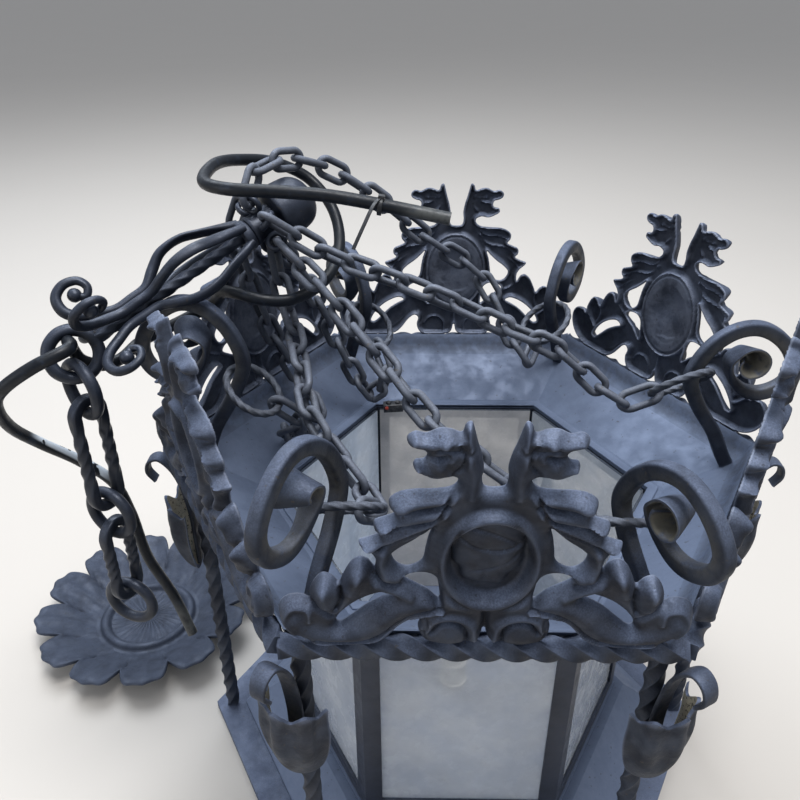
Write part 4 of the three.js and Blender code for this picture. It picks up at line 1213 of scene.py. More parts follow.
outer_skin, skin_rows, skin_columns = shell_skin(0)
inner_skin, _, _ = shell_skin(CAPITAL_WALL)
shell_points, shell_faces = closed_skins(outer_skin, inner_skin, skin_rows, skin_columns)
strap_line = spline([(x, 0, RIM_HEIGHT + z) for x, z in STRAP_ROUTE], 70)
strap_run = np.linspace(0, 1, len(strap_line))
strap_wide = 1 - 0.25 * smoothstep(strap_run, 0.75, 1)
strap = sweep(strap_line, rounded(STRAP_THICKNESS, STRAP_WIDTH, 1.1, 3), side=(0, 1, 0), wide=strap_wide)
capital_points, capital_faces = joined((shell_points, shell_faces), strap)
inner_points = range(len(outer_skin), len(shell_points))
crusted = [int(all(v in inner_points for v in f)) for f in capital_faces]
for index, corner in enumerate(CORNERS):
    turn = math.radians(60 * index)
    c, s = math.cos(turn), math.sin(turn)
    placed = capital_points @ np.array([[c, s, 0], [-s, c, 0], [0, 0, 1]])
    capital = piece(f"fluted_capital_{corner}", placed, capital_faces, FORGED, sharp=60)
    capital.data.materials.append(CRUST)
    capital.data.polygons.foreach_set("material_index", crusted)
    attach(capital, "lantern")
    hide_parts(f"capital_{corner}")
print("capital faces:", len(capital_faces))

# %% [markdown]
# Hammered rings are never quite true. A small, smooth displacement makes each
# ring and each forged body slightly uneven. Blender shifts this noise by the
# clock unless it has a seed, so a fixed one gives the same shapes each run.

# %% Hammered surfaces
HAMMER_SEED = 5
wobble.seed_set(HAMMER_SEED)


def hammered(points, amount, size):
    """Moves the points a little, by a smooth noise of that size in millimetres."""
    moved = np.array(points, float)
    for k, p in enumerate(moved):
        moved[k] = p + np.array(wobble.noise_vector(Vector(p / size))) * amount
    return moved


def loop_line(centre, direction, tangent, radius, count):
    """A closed circle that starts in one direction and turns to the other."""
    turns = np.arange(count) * 2 * math.pi / count
    return centre + radius * (np.cos(turns)[:, None] * direction + np.sin(turns)[:, None] * tangent)


test_ring = loop_line(np.zeros(3), np.array([1.0, 0, 0]), UP, 20, 60)
unevenness = np.abs(hammered(test_ring, 0.3, 12) - test_ring).max()
print("hammering moves a test ring by up to", round(float(unevenness), 2), "mm")

# %% [markdown]
# Each scroll ring is a twisted square wire bent round and welded. Its centre
# and its axis come from its joint, so the ring stays true when that turns it.

# %% Scroll rings
RING_RADIUS = 25.3
RING_WIRE = 6.4
RING_SQUARE = 5.4
RING_STEPS = 160
RING_PULLS = [(-0.92, -0.39), (-0.85, -0.53), (-0.75, -0.66), (-0.8, -0.6), (-0.8, -0.6), (-0.85, -0.53)]
RING_TURNS = 4
joints = {joint["name"]: joint for joint in frame["joints"]}


def ring_place(index):
    """Centre, direction of the pull, tangent and axis of one corner's ring."""
    joint = joints[f"ring_{CORNERS[index]}_turn"]
    centre = (np.array(joint["pos_m"]) - [AXIS.x, AXIS.y, 0]) * 1000
    normal = unit(joint["axis"])
    direction = polar(RING_PULLS[index][0], index * 60, RING_PULLS[index][1])
    direction = unit(direction - np.dot(direction, normal) * normal)
    return centre, direction, np.cross(normal, direction), normal


for index, corner in enumerate(CORNERS):
    centre, direction, tangent, normal = ring_place(index)
    line = loop_line(centre, direction, tangent, RING_RADIUS, RING_STEPS)
    twist = np.arange(RING_STEPS) * RING_TURNS * 2 * math.pi / RING_STEPS
    section = rounded(RING_SQUARE, RING_SQUARE, 1.3, 2)
    points, faces = sweep(line, section, side=normal, twist=twist, closed=True)
    ring = piece(f"twisted_ring_{corner}", hammered(points, 0.15, 9), faces, CHAIN, sharp=60)
    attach(ring, f"ring_{corner}")
    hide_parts(f"ring_{corner}")
print("scroll rings:", len(CORNERS))

# %% [markdown]
# The stem leans on the left scroll. Its place follows from three directions:
# along the stem, the way its eye faces, and across both. All pieces on it are
# placed in that frame.

# %% Stem frame
STEM_REST = np.array([-245.697, 0, 488.88])
STEM_ALONG = unit([0.733, 0.563, 0.381])
STEM_TO_EYE = 80
STEM_TO_HUB = 101
eye_facing = np.array([0.394, -0.818, 0.419])
EYE_FACING = unit(eye_facing - np.dot(eye_facing, STEM_ALONG) * STEM_ALONG)
EYE_ACROSS = np.cross(EYE_FACING, STEM_ALONG)
EYE_CENTRE = STEM_REST - STEM_ALONG * STEM_TO_EYE
HUB_CENTRE = STEM_REST + STEM_ALONG * STEM_TO_HUB
STEM_BASIS = np.array([EYE_ACROSS, EYE_FACING, STEM_ALONG])
EYE_RADIUS = 18.5
EYE_WIRE = 10
COLLAR_RADIUS = 13
COLLAR_LENGTH = 24
HUB_EYE_RADIUS = 7
HUB_EYE_WIRE = 5
CUP_RADIUS = 24
CUP_LENGTH = 38


def in_stem(across, facing, along):
    """A point placed from the eye's centre in the stem's own directions."""
    return EYE_CENTRE + np.array([across, facing, along]) @ STEM_BASIS


print("eye", np.round(EYE_CENTRE, 1), "hub", np.round(HUB_CENTRE, 1))

# %% [markdown]
# The stem is a square bar twisted hot and welded to a round eye. The hub is a
# turned collar with six small eyes for the chains and a smooth bowl on its far
# end.

# %% Stem and hub
ROD_WIDTH = 8.6
ROD_ROUNDING = 2.2
ROD_STEPS = 90
ROD_STEPS_A_QUARTER = 9
ROD_END = STEM_TO_EYE + STEM_TO_HUB - COLLAR_LENGTH / 2 - FIT
rod_line = np.array([in_stem(0, 0, a) for a in np.linspace(EYE_RADIUS, ROD_END, ROD_STEPS)])
rod_twist = np.arange(ROD_STEPS) * (math.pi / 2) / ROD_STEPS_A_QUARTER
rod = sweep(rod_line, rounded(ROD_WIDTH, ROD_WIDTH, ROD_ROUNDING, 3), side=EYE_ACROSS, twist=rod_twist)
eye_line = loop_line(EYE_CENTRE, EYE_ACROSS, STEM_ALONG, EYE_RADIUS, 72)
eye_points, eye_faces = sweep(eye_line, circle(EYE_WIRE / 2, 20), side=EYE_FACING, closed=True)
points, faces = joined((hammered(rod[0], 0.25, 8), rod[1]), (hammered(eye_points, 0.35, 11), eye_faces))
stem = piece("stem_and_eye", points, faces, BLACK, sharp=55)
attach(stem, "lantern")
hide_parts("stem")

CUP_OUTLINE = [
    (0.7, 0.0), (0.97, 0.05), (1, 0.14), (0.97, 0.46), (0.87, 0.75), (0.6, 0.93), (0.3, 0.985), (0.02, 1),
]
EYE_BEARINGS = [90, 30, 270, 330, 210, 150]
CHAIN_ROUTES = [
    [(-112, 38, 168), (-56, 33, 148), (-8, 27, 130), (34, 19, 112), (76, 12, 96)],
    [(-174, 66, 230), (-148, 98, 232), (-118, 120, 218), (-80, 132, 190), (-30, 142, 146), (20, 152, 108)],
    [(-154, 100, 140), (-134, 110, 96), (-116, 116, 46), (-98, 124, 0), (-84, 132, -20)],
    [(-200, 76, 176), (-194, 84, 132), (-182, 94, 80), (-164, 104, 32), (-148, 104, -2), (-138, 88, -17),
     (-150, 64, -18), (-166, 40, -7)],
    [(-158, 54, 128), (-146, 28, 104), (-134, -20, 90), (-124, -60, 74)],
    [(-118, 8, 152), (-88, -18, 126), (-60, -48, 104), (-26, -84, 78)],
]


def hub_eye(index):
    """Centre, outward direction, tangent, normal and holding point of an eye."""
    bearing = math.radians(EYE_BEARINGS[index])
    out = EYE_ACROSS * math.cos(bearing) + EYE_FACING * math.sin(bearing)
    centre = HUB_CENTRE + out * (COLLAR_RADIUS + HUB_EYE_RADIUS)
    hold = centre + out * HUB_EYE_RADIUS
    first = np.array(CHAIN_ROUTES[index][0], float) + [0, 0, RIM_HEIGHT]
    tangent = unit(np.cross(out, unit(first - hold)))
    return centre, out, tangent, np.cross(out, tangent), hold


collar_half = COLLAR_LENGTH / 2
bowl = spline([(r * CUP_RADIUS, collar_half + h * CUP_LENGTH, 0) for r, h in CUP_OUTLINE], 40)
profile = [(0, -collar_half), (11, -collar_half), (12.6, -collar_half + 1), (COLLAR_RADIUS, -collar_half + 3)]
profile += [(12.2, -6), (12.2, 6), (COLLAR_RADIUS, 9), (COLLAR_RADIUS, collar_half - 0.5)]
profile += [(r, h) for r, h in bowl[:-1, :2]] + [(0, bowl[-1][1])]
hub_body = lathe(profile, 64, HUB_CENTRE, STEM_BASIS)
hub_parts = [(hammered(hub_body[0], 0.2, 14), hub_body[1])]
for index in range(SIDES):
    centre, out, tangent, normal, hold = hub_eye(index)
    loop = loop_line(centre, out, tangent, HUB_EYE_RADIUS, 36)
    hub_parts.append(sweep(loop, circle(HUB_EYE_WIRE / 2, 12), side=normal, closed=True))
points, faces = joined(*hub_parts)
hub = piece("hub_bowl_and_eyes", points, faces, BLACK, sharp=50)
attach(hub, "lantern")
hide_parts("hub")
print("stem and hub faces:", len(stem.data.polygons), len(hub.data.polygons))

# %% [markdown]
# Four brackets run along the stem. A smith draws the bar down to a ball at one
# end and rolls it into a spiral; near the hub the bar is beaten a little wider,
# and on one of the four into a leaf with a raised vein.

# %% Brackets
BRACKET_WIRE = 8
BRACKET_TOUCH = 9.85
FLANGE_START = STEM_TO_EYE + STEM_TO_HUB - COLLAR_LENGTH / 2 - 8 - FIT
BRACKET_ROUTE = [
    (28, 36), (34, 31), (39, 36), (36, 44), (26, 47), (16, 42), (14, 31), (20, 22), (33, 15),
    (46, BRACKET_TOUCH), (60, BRACKET_TOUCH), (74, BRACKET_TOUCH + 1), (86, 19), (100, 27), (118, 28),
    (136, 22), (FLANGE_START + 4, COLLAR_RADIUS - 2),
]
BRACKET_BEARINGS = [60, 132, 280, 350]
LEAF_BEARING = 350
BALL_RADIUS = 5.6
FLANGE_PROFILE = [(0, 0), (12, 0), (13, 1), (13, 7), (12, 8), (0, 8)]


def leaf_section(size, vein, sides=24):
    """A round section, with a raised vein on its outer side for a leaf."""
    turns = np.arange(sides) * 2 * math.pi / sides
    radius = size * (1 + vein * np.exp(-((np.mod(turns, 2 * math.pi) - math.pi) / 0.3) ** 2))
    return np.stack([radius * np.cos(turns), radius * np.sin(turns)], 1)


def bracket_parts(bearing):
    """One bracket's bar, and the ball on its rolled end."""
    turn = math.radians(bearing)
    out = EYE_ACROSS * math.cos(turn) + EYE_FACING * math.sin(turn)
    side = np.cross(STEM_ALONG, out)
    line = spline([EYE_CENTRE + STEM_ALONG * a + out * b for a, b in BRACKET_ROUTE], 170)
    run = np.linspace(0, 1, len(line))
    leaf = smoothstep(run, 0.62, 0.8) * (1 - smoothstep(run, 0.86, 0.99))
    leafy = bearing == LEAF_BEARING
    slim = 0.72 + 0.28 * smoothstep(run, 0.0, 0.3)
    spread = 1 + (1.1 if leafy else 0.25) * leaf
    section = leaf_section(BRACKET_WIRE / 2, 0.2 if leafy else 0)
    bar = sweep(line, section, side=side, wide=slim * spread, deep=slim * (1 - 0.25 * leaf))
    ball_turns = np.linspace(-1.3, 1.3, 11)
    ball_profile = [(BALL_RADIUS * math.cos(a), BALL_RADIUS * math.sin(a)) for a in ball_turns]
    ball_profile = [(0, -BALL_RADIUS), *ball_profile, (0, BALL_RADIUS)]
    ball = lathe(ball_profile, 20, line[0], np.array([out, side, np.cross(out, side)]))
    return (hammered(bar[0], 0.2, 16), bar[1]), (hammered(ball[0], 0.2, 6), ball[1])


bracket_bits = [bit for bearing in BRACKET_BEARINGS for bit in bracket_parts(bearing)]
flange = lathe(FLANGE_PROFILE, 40, in_stem(0, 0, FLANGE_START), STEM_BASIS)
points, faces = joined(*bracket_bits, flange)
brackets = piece("scrolled_brackets", points, faces, BLACK, sharp=55)
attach(brackets, "lantern")
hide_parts("stem_brackets")
print("bracket faces:", len(faces))

# %% [markdown]
# The suspension gear hangs from the eye: a ring, a long link, a ring, a link
# and a last ring, which takes the ceiling hook. The rings are plain and a
# little uneven. The links' long legs are twisted square bar, so the twist
# stops before each end, where the next ring turns in it.

# %% Suspension gear
GEAR_NAMES = [
    "suspension_ring_upper", "suspension_link_upper", "suspension_ring_middle", "suspension_link_lower",
    "suspension_ring_lower",
]
GEAR_TURNS = [-40, 58, -25, 65, -15]
GEAR_WIRE = 10
GEAR_SQUARE = 8.8
GEAR_RING_RADIUS = 21
GEAR_LINK_HALF_WIDTH = 12
GEAR_LINK_LENGTHS = [110, 90]
HINGE_GAP = 0.8


def long_link(centre, across, length):
    """A link with two straight legs. Returns its line and its twist."""
    straight = length / 2 - GEAR_LINK_HALF_WIDTH
    line, twist, turned = [], [], 0.0
    for leg in (1, -1):
        for t in np.linspace(0, 1, 40, endpoint=False):
            line.append(centre + across * leg * GEAR_LINK_HALF_WIDTH + UP * leg * straight * (2 * t - 1))
            twist.append(turned + 2 * math.pi * float(smoothstep(t, 0.02, 0.98)))
        turned += 2 * math.pi
        for a in np.linspace(0, math.pi, 20, endpoint=False):
            line.append(centre + across * leg * GEAR_LINK_HALF_WIDTH * math.cos(a)
                        + UP * leg * (straight + GEAR_LINK_HALF_WIDTH * math.sin(a)))
            twist.append(turned)
    return np.array(line), np.array(twist)


fall = unit(-UP + EYE_FACING * EYE_FACING[2])
hang = EYE_CENTRE + fall * EYE_RADIUS
for index, name in enumerate(GEAR_NAMES):
    across = polar(1, GEAR_TURNS[index], 0)
    facing = np.cross(across, UP)
    is_ring = index % 2 == 0
    length = 2 * GEAR_RING_RADIUS if is_ring else GEAR_LINK_LENGTHS[index // 2] - GEAR_WIRE
    top = hang + UP * (GEAR_WIRE + HINGE_GAP)
    centre = top - UP * length / 2
    hang = top - UP * length
    if is_ring:
        line = loop_line(centre, across, UP, GEAR_RING_RADIUS, 80)
        points, faces = sweep(line, circle(GEAR_WIRE / 2 - 0.1, 20), side=facing, closed=True)
    else:
        line, twist = long_link(centre, across, length)
        section = rounded(GEAR_SQUARE, GEAR_SQUARE, 1.9, 3)
        points, faces = sweep(line, section, side=facing, twist=twist, closed=True)
    short_name = name.removeprefix("suspension_")
    gear = piece(f"hanging_{short_name}", hammered(points, 0.3, 12), faces, BLACK, sharp=55)
    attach(gear, name)
    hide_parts(name)
print("suspension pieces:", len(GEAR_NAMES))

# %% [markdown]
# Chain links repeat by a rule, so one Geometry Nodes tree draws a link once,
# a bent round wire, and puts a copy on every point. The points carry the turn
# and the stretch of their link.

# %% Chain tree
LINK_WIRE = 6.2
LINK_END_RADIUS = 7.2
LINK_PITCH = 24
LINK_WELD = 0.8
LINK_SEAT = (LINK_WIRE - LINK_WELD) / 2
LINK_FULL = LINK_PITCH + 2 * LINK_SEAT


def chain_tree():
    tree = bpy.data.node_groups.new("welded_chain", "GeometryNodeTree")
    face = tree.interface
    face.new_socket("Seats", in_out="INPUT", socket_type="NodeSocketGeometry")
    link_sizes = {"Wire": LINK_WIRE, "End radius": LINK_END_RADIUS, "Length": LINK_FULL}
    for name, value in link_sizes.items():
        face.new_socket(name, in_out="INPUT", socket_type="NodeSocketFloat").default_value = value / 1000
    face.new_socket("Finish", in_out="INPUT", socket_type="NodeSocketMaterial")
    face.new_socket("Chain", in_out="OUTPUT", socket_type="NodeSocketGeometry")
    start, end = tree.nodes.new("NodeGroupInput"), tree.nodes.new("NodeGroupOutput")
    width = tree.nodes.new("ShaderNodeMath")
    width.operation = "MULTIPLY"
    width.inputs[1].default_value = 2
    tree.links.new(start.outputs["End radius"], width.inputs[0])
    frame_line = tree.nodes.new("GeometryNodeCurvePrimitiveQuadrilateral")
    tree.links.new(width.outputs["Value"], frame_line.inputs["Width"])
    tree.links.new(start.outputs["Length"], frame_line.inputs["Height"])
    bend = tree.nodes.new("GeometryNodeFilletCurve")
    bend.mode = "POLY"
    bend.inputs["Count"].default_value = 6
    bend.inputs["Limit Radius"].default_value = True
    tree.links.new(frame_line.outputs["Curve"], bend.inputs["Curve"])
    tree.links.new(start.outputs["End radius"], bend.inputs["Radius"])
    half = tree.nodes.new("ShaderNodeMath")
    half.operation = "MULTIPLY"
    half.inputs[1].default_value = 0.5
    tree.links.new(start.outputs["Wire"], half.inputs[0])
    section = tree.nodes.new("GeometryNodeCurvePrimitiveCircle")
    section.inputs["Resolution"].default_value = 9
    tree.links.new(half.outputs["Value"], section.inputs["Radius"])
    link = tree.nodes.new("GeometryNodeCurveToMesh")
    tree.links.new(bend.outputs["Curve"], link.inputs["Curve"])
    tree.links.new(section.outputs["Curve"], link.inputs["Profile Curve"])
    turn = tree.nodes.new("GeometryNodeInputNamedAttribute")
    turn.data_type = "FLOAT_VECTOR"
    turn.inputs["Name"].default_value = "turn"
    stretch = tree.nodes.new("GeometryNodeInputNamedAttribute")
    stretch.data_type = "FLOAT_VECTOR"
    stretch.inputs["Name"].default_value = "stretch"
    euler = tree.nodes.new("FunctionNodeEulerToRotation")
    tree.links.new(turn.outputs["Attribute"], euler.inputs["Euler"])
    place = tree.nodes.new("GeometryNodeInstanceOnPoints")
    tree.links.new(start.outputs["Seats"], place.inputs["Points"])
    tree.links.new(link.outputs["Mesh"], place.inputs["Instance"])
    tree.links.new(euler.outputs["Rotation"], place.inputs["Rotation"])
    tree.links.new(stretch.outputs["Attribute"], place.inputs["Scale"])
    real = tree.nodes.new("GeometryNodeRealizeInstances")
    tree.links.new(place.outputs["Instances"], real.inputs["Geometry"])
    smooth = tree.nodes.new("GeometryNodeSetShadeSmooth")
    tree.links.new(real.outputs["Geometry"], smooth.inputs["Geometry"])
    paint = tree.nodes.new("GeometryNodeSetMaterial")
    tree.links.new(smooth.outputs["Geometry"], paint.inputs["Geometry"])
    tree.links.new(start.outputs["Finish"], paint.inputs["Material"])
    tree.links.new(paint.outputs["Geometry"], end.inputs["Chain"])
    return tree


WELDED_CHAIN = chain_tree()
print("chain tree:", len(WELDED_CHAIN.nodes), "nodes, link length", round(LINK_FULL, 1), "mm")

# %% [markdown]
# Each chain follows its own laid route from a hub eye to a scroll ring. The
# links share out the route's length, every other one is turned a quarter, and
# an even twist brings the last link square to its ring.

# %% Chains
CHAIN_STEPS = 1200


def carried_along(ways, start):
    """A direction kept square to each way in turn, without turning about it."""
    kept = []
    for way in ways:
        start = unit(start - np.dot(start, way) * way)
        kept.append(start)
    return kept


def chain_knots(index, ring_end):
    """The points of one chain's route at which its links meet."""
    hold = hub_eye(index)[4]
    route = [np.array(p, float) + [0, 0, RIM_HEIGHT] for p in CHAIN_ROUTES[index]]
    pull = ring_place(index)[1]
    drawn = spline([hold, *route, ring_end + pull * LINK_PITCH, ring_end], CHAIN_STEPS)
    return spaced(drawn, round(length_of(drawn) / LINK_PITCH) + 1)


def link_seats(index):
    """Middle, turn and stretch of every link of one chain."""
    centre, pull, ring_tangent, _ = ring_place(index)
    knots = chain_knots(index, centre + pull * RING_RADIUS)
    ways = np.array([unit(b - a) for a, b in zip(knots, knots[1:])])
    normals = carried_along(ways, hub_eye(index)[2])
    last = len(ways) - 1
    tilt = np.dot(np.cross(normals[last], ring_tangent), ways[last])
    miss = math.atan2(tilt, np.dot(normals[last], ring_tangent)) - last * math.pi / 2
    twist = (miss - math.pi * round(miss / math.pi)) / last
    middles, turns, scales = [], [], []
    for i, way in enumerate(ways):
        first = (HUB_EYE_WIRE + LINK_WIRE) / 2 + 3 * FIT if i == 0 else LINK_SEAT
        final = (RING_WIRE + LINK_WIRE) / 2 + 3 * FIT if i == last else LINK_SEAT
        span = np.linalg.norm(knots[i + 1] - knots[i])
        turn = i * (math.pi / 2 + twist)
        normal = normals[i] * math.cos(turn) + np.cross(way, normals[i]) * math.sin(turn)
        across = unit(np.cross(way, normal))
        basis = Matrix((across, way, np.cross(across, way))).transposed()
        middles.append((knots[i] + knots[i + 1]) / 2 + way * (final - first) / 2)
        turns.append(basis.to_euler("XYZ"))
        scales.append((1, (span + first + final) / LINK_FULL, 1))
    return middles, turns, scales


link_count = 0
for index, corner in enumerate(CORNERS):
    middles, turns, scales = link_seats(index)
    chain = grown(f"welded_chain_{corner}", WELDED_CHAIN, middles, [], {"Finish": CHAIN},
                  {"turn": ("FLOAT_VECTOR", turns), "stretch": ("FLOAT_VECTOR", scales)})
    link_count += len(middles)
    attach(chain, "lantern")
    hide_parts(f"chain_{corner}")
print("links in all:", link_count)

# %% [markdown]
# The ceiling rose is a pressed dish of twelve round petals. Each petal is a
# cushion with fine folds running outwards, its rim rolls over a little, and
# the pleated middle sits inside a raised ledge. The under side follows the
# upper one, except where the dish stands flat.

# %% Ceiling rose
ROSE_CENTRE = (-372, 128)
ROSE_RADIUS = 122
ROSE_HEIGHT = 32
ROSE_PETALS = 12
ROSE_WALL = 2.2
ROSE_PLEATS = 36
ROSE_FLUTES = 16
ROSE_PROFILE = [
    (0, 0.13), (0.08, 0.15), (0.2, 0.15), (0.33, 0.12), (0.365, 0.14), (0.385, 0.31), (0.415, 0.36),
    (0.445, 0.33), (0.468, 0.18), (0.5, 0.17), (0.6, 0.31), (0.7, 0.5), (0.8, 0.69), (0.88, 0.84),
    (0.94, 0.92), (0.98, 0.93), (1, 0.9),
]


def rose_skins(rows=90, columns=360):
    """The dish's upper and under side, as rows of points from the middle out."""
    shares = np.concatenate([np.linspace(0.02, 0.48, 42, endpoint=False), np.linspace(0.48, 1, rows - 42)])
    turns = np.arange(columns) * 2 * math.pi / columns
    share, turn = np.meshgrid(shares, turns, indexing="ij")
    petal = np.mod(turn * ROSE_PETALS / (2 * math.pi), 1) - 0.5
    outer = smoothstep(share, 0.5, 0.75)
    edge = 1.045 - 0.20 * (2 * np.abs(petal)) ** 3.6 + 0.012 * np.cos(petal * 2 * math.pi * 3)
    reach = share * ROSE_RADIUS * (1 + (edge - 1) * smoothstep(share, 0.62, 1))
    height = np.interp(share, *zip(*ROSE_PROFILE)) * ROSE_HEIGHT
    crown = 3.4 * (np.cos(math.pi * petal) - 0.6)
    seam = 2.2 * swelling(np.abs(petal) - 0.5, 0.035)
    height += outer * (crown - seam)
    folds = 1.1 * np.cos(petal * 2 * math.pi * 3) - 0.8 * np.exp(-(petal / 0.03) ** 2)
    height += outer * folds * smoothstep(share, 0.5, 0.8) * (1 - 0.5 * smoothstep(share, 0.9, 1))
    pleated = smoothstep(share, 0.5, 0.56) * (1 - smoothstep(share, 0.62, 0.8))
    height += 0.5 * np.cos(turn * ROSE_PLEATS) * pleated
    pleats = smoothstep(share, 0.03, 0.1) * (1 - smoothstep(share, 0.33, 0.37))
    height += pleats * 1.1 * np.abs(np.cos(turn * ROSE_FLUTES + share * 9)) ** 0.7
    height = np.minimum(height, ROSE_HEIGHT * 1.02)
    under = np.where(share < 0.42, 0, np.maximum(height - ROSE_WALL, 0))
    x, y = reach * np.cos(turn) + ROSE_CENTRE[0], reach * np.sin(turn) + ROSE_CENTRE[1]
    return np.stack([x, y, height], -1), np.stack([x, y, under], -1)


rose_top, rose_under = rose_skins()
rose_rows, rose_columns = rose_top.shape[:2]
flat = rose_rows * rose_columns
rose_points = np.concatenate([rose_top.reshape(-1, 3), rose_under.reshape(-1, 3),
                              [[*ROSE_CENTRE, rose_top[0, :, 2].mean()]], [[*ROSE_CENTRE, 0]]])
rose_faces = []
for i in range(rose_rows - 1):
    for k in range(rose_columns):
        a, b = i * rose_columns + k, i * rose_columns + (k + 1) % rose_columns
        rose_faces.append((a, a + rose_columns, b + rose_columns, b))
        rose_faces.append((b + flat, b + rose_columns + flat, a + rose_columns + flat, a + flat))
rim_start = (rose_rows - 1) * rose_columns
for k in range(rose_columns):
    m = (k + 1) % rose_columns
    rose_faces.append((rim_start + k, rim_start + k + flat, rim_start + m + flat, rim_start + m))
    rose_faces.append((2 * flat, k, m))
    rose_faces.append((2 * flat + 1, m + flat, k + flat))
rose = piece("petalled_rose", rose_points, rose_faces, ROSE, sharp=70)
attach(rose, "lantern")
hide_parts("ceiling_rose")
print("rose faces:", len(rose_faces))

# %% [markdown]
# Inside the body a lampholder stands on the floor plate and holds a frosted
# bulb. Hardly any of it shows, but the lamp needs both.

# %% Lampholder and bulb
HOLDER_RIBS = 6
BULB_RADIUS = 17
BULB_OUTLINE = [
    (0.58, 0.002), (0.6, 0.08), (0.64, 0.18), (0.9, 0.38), (1, 0.6), (0.86, 0.82), (0.5, 0.96), (0.03, 1),
]
holder_low, holder_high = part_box("lampholder")
bulb_low, bulb_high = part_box("bulb")
foot_z, holder_top = holder_low.z * 1000, holder_high.z * 1000
holder_profile = [(0, foot_z), (13, foot_z), (14, foot_z + 1), (14, foot_z + 5)]
holder_profile += [(12.4, foot_z + 6), (12.4, foot_z + 9)]
for k in range(HOLDER_RIBS):
    holder_profile += [(13, foot_z + 10 + 3 * k), (12.3, foot_z + 11.5 + 3 * k)]
holder_profile += [(13.8, holder_top - 5), (14, holder_top - 1), (13.2, holder_top), (0, holder_top)]
points, faces = lathe(holder_profile, 48)
holder = piece("lampholder_body", points, faces, PORCELAIN, sharp=50)
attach(holder, "lantern")
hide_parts("lampholder")
bulb_z, bulb_tall = bulb_low.z * 1000, (bulb_high.z - bulb_low.z) * 1000
bulb_line = spline([(r * BULB_RADIUS, bulb_z + h * bulb_tall, 0) for r, h in BULB_OUTLINE], 36)
bulb_profile = [(0, bulb_z)] + [(r, h) for r, h in bulb_line[:-1, :2]] + [(0, bulb_z + bulb_tall)]
points, faces = lathe(bulb_profile, 48)
bulb = piece("frosted_bulb", points, faces, BULB_GLASS, sharp=50)
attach(bulb, "bulb")
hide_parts("bulb")
print("lampholder and bulb faces:", len(holder.data.polygons), len(bulb.data.polygons))

# %% [markdown]
# The sheets, rails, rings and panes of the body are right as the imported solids
# give them, so they stay and only take a finish.

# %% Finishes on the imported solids
KEPT = {"base_ring": FORGED, "base_skirt": SHEET, "floor_plate": SHEET, "body_frame": BLACK, "gallery": SHEET}
KEPT.update({f"pane_{name}": finish for name, finish in PANE_FINISHES.items()})
for name, finish in KEPT.items():
    node = frame["nodes"][name]
    if not node.material_slots:
        node.data.materials.append(None)
    for slot in node.material_slots:
        slot.material = finish
print("kept solids:", len(KEPT))

# %% [markdown]
# The gallery sheets are coved up behind the crests, which hides the rope from
# the inside, and a narrow flat strip strengthens the edge of the opening. Both
# are thin sheet, so they are drawn here as hexagonal strips on the solid.

# %% Gallery edges


def hexagonal_strip(profile):
    """A closed profile of apothem and height run round the six sides."""
    points, faces, count = [], [], len(profile)
    for index in range(SIDES):
        points += [polar(apothem / TO_APOTHEM, index * 60, z) for apothem, z in profile]
    for index in range(SIDES):
        after = (index + 1) % SIDES
        for k in range(count):
            m = (k + 1) % count
            faces.append((index * count + k, index * count + m, after * count + m, after * count + k))
    return outwards(np.array(points), faces)


GALLERY_EDGE = GALLERY_EDGE_RADIUS * TO_APOTHEM
COVE = [(-11.2, -7.3), (-6.4, -3.7), (-2.8, 0.9), (-1, 5), (0.8, 9), (2.6, 11.8)]
COVE_SKIN = 1.1
cove_top = spline([(GALLERY_EDGE + a, RIM_HEIGHT + z, 0) for a, z in COVE], 22)[:, :2]
cove_run = np.gradient(cove_top, axis=0)
cove_run /= np.linalg.norm(cove_run, axis=1)[:, None]
cove_under = cove_top + COVE_SKIN * np.column_stack([cove_run[:, 1], -cove_run[:, 0]])
lip_profile = [tuple(p) for p in cove_top] + [tuple(p) for p in cove_under[::-1]]
OPENING_RADIUS = 167.5
OPENING_EDGE = OPENING_RADIUS * TO_APOTHEM
STRIP_WIDTH = 8.5
STRIP_PROUD = 1.6
STRIP_SUNK = 1.5
STRIP_BEVEL = 0.6
STRIP_SHOULDER = 1.1
ledge = RIM_HEIGHT - GALLERY_DROP
strip_out = OPENING_EDGE + STRIP_WIDTH
shoulder = ledge + STRIP_SHOULDER
flat_strip = [
    (OPENING_EDGE, ledge - STRIP_SUNK), (strip_out, ledge - STRIP_SUNK), (strip_out, shoulder),
    (strip_out - STRIP_BEVEL, ledge + STRIP_PROUD), (OPENING_EDGE + STRIP_BEVEL, ledge + STRIP_PROUD),
    (OPENING_EDGE, shoulder),
]
for name, profile in (("gallery_lip", lip_profile), ("opening_strip", flat_strip)):
    points, faces = hexagonal_strip(profile)
    strip = piece(name, points, faces, SHEET, sharp=30)
    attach(strip, "lantern")
    print(name, "faces:", len(faces))

# %% [markdown]
# A black cable tie still holds the flex to a chain, with its tail hanging
# down, and the old terminal block lies on the edge of the opening.

# %% Cable tie and terminal block


def plastic_finish(name, tone):
    material, tree, shader = nodes_of(name)
    place = object_place(tree)
    pale_share = between(tree, noise(tree, place, 300, 4), 0.4, 0.75)
    tree.links.new(mixed(tree, pale_share, tone, tuple(c + 0.05 for c in tone)), shader.inputs["Base Color"])
    dulled = between(tree, noise(tree, place, 200), 0.3, 0.7, 0.35, 0.6)
    tree.links.new(dulled, shader.inputs["Roughness"])
    return material


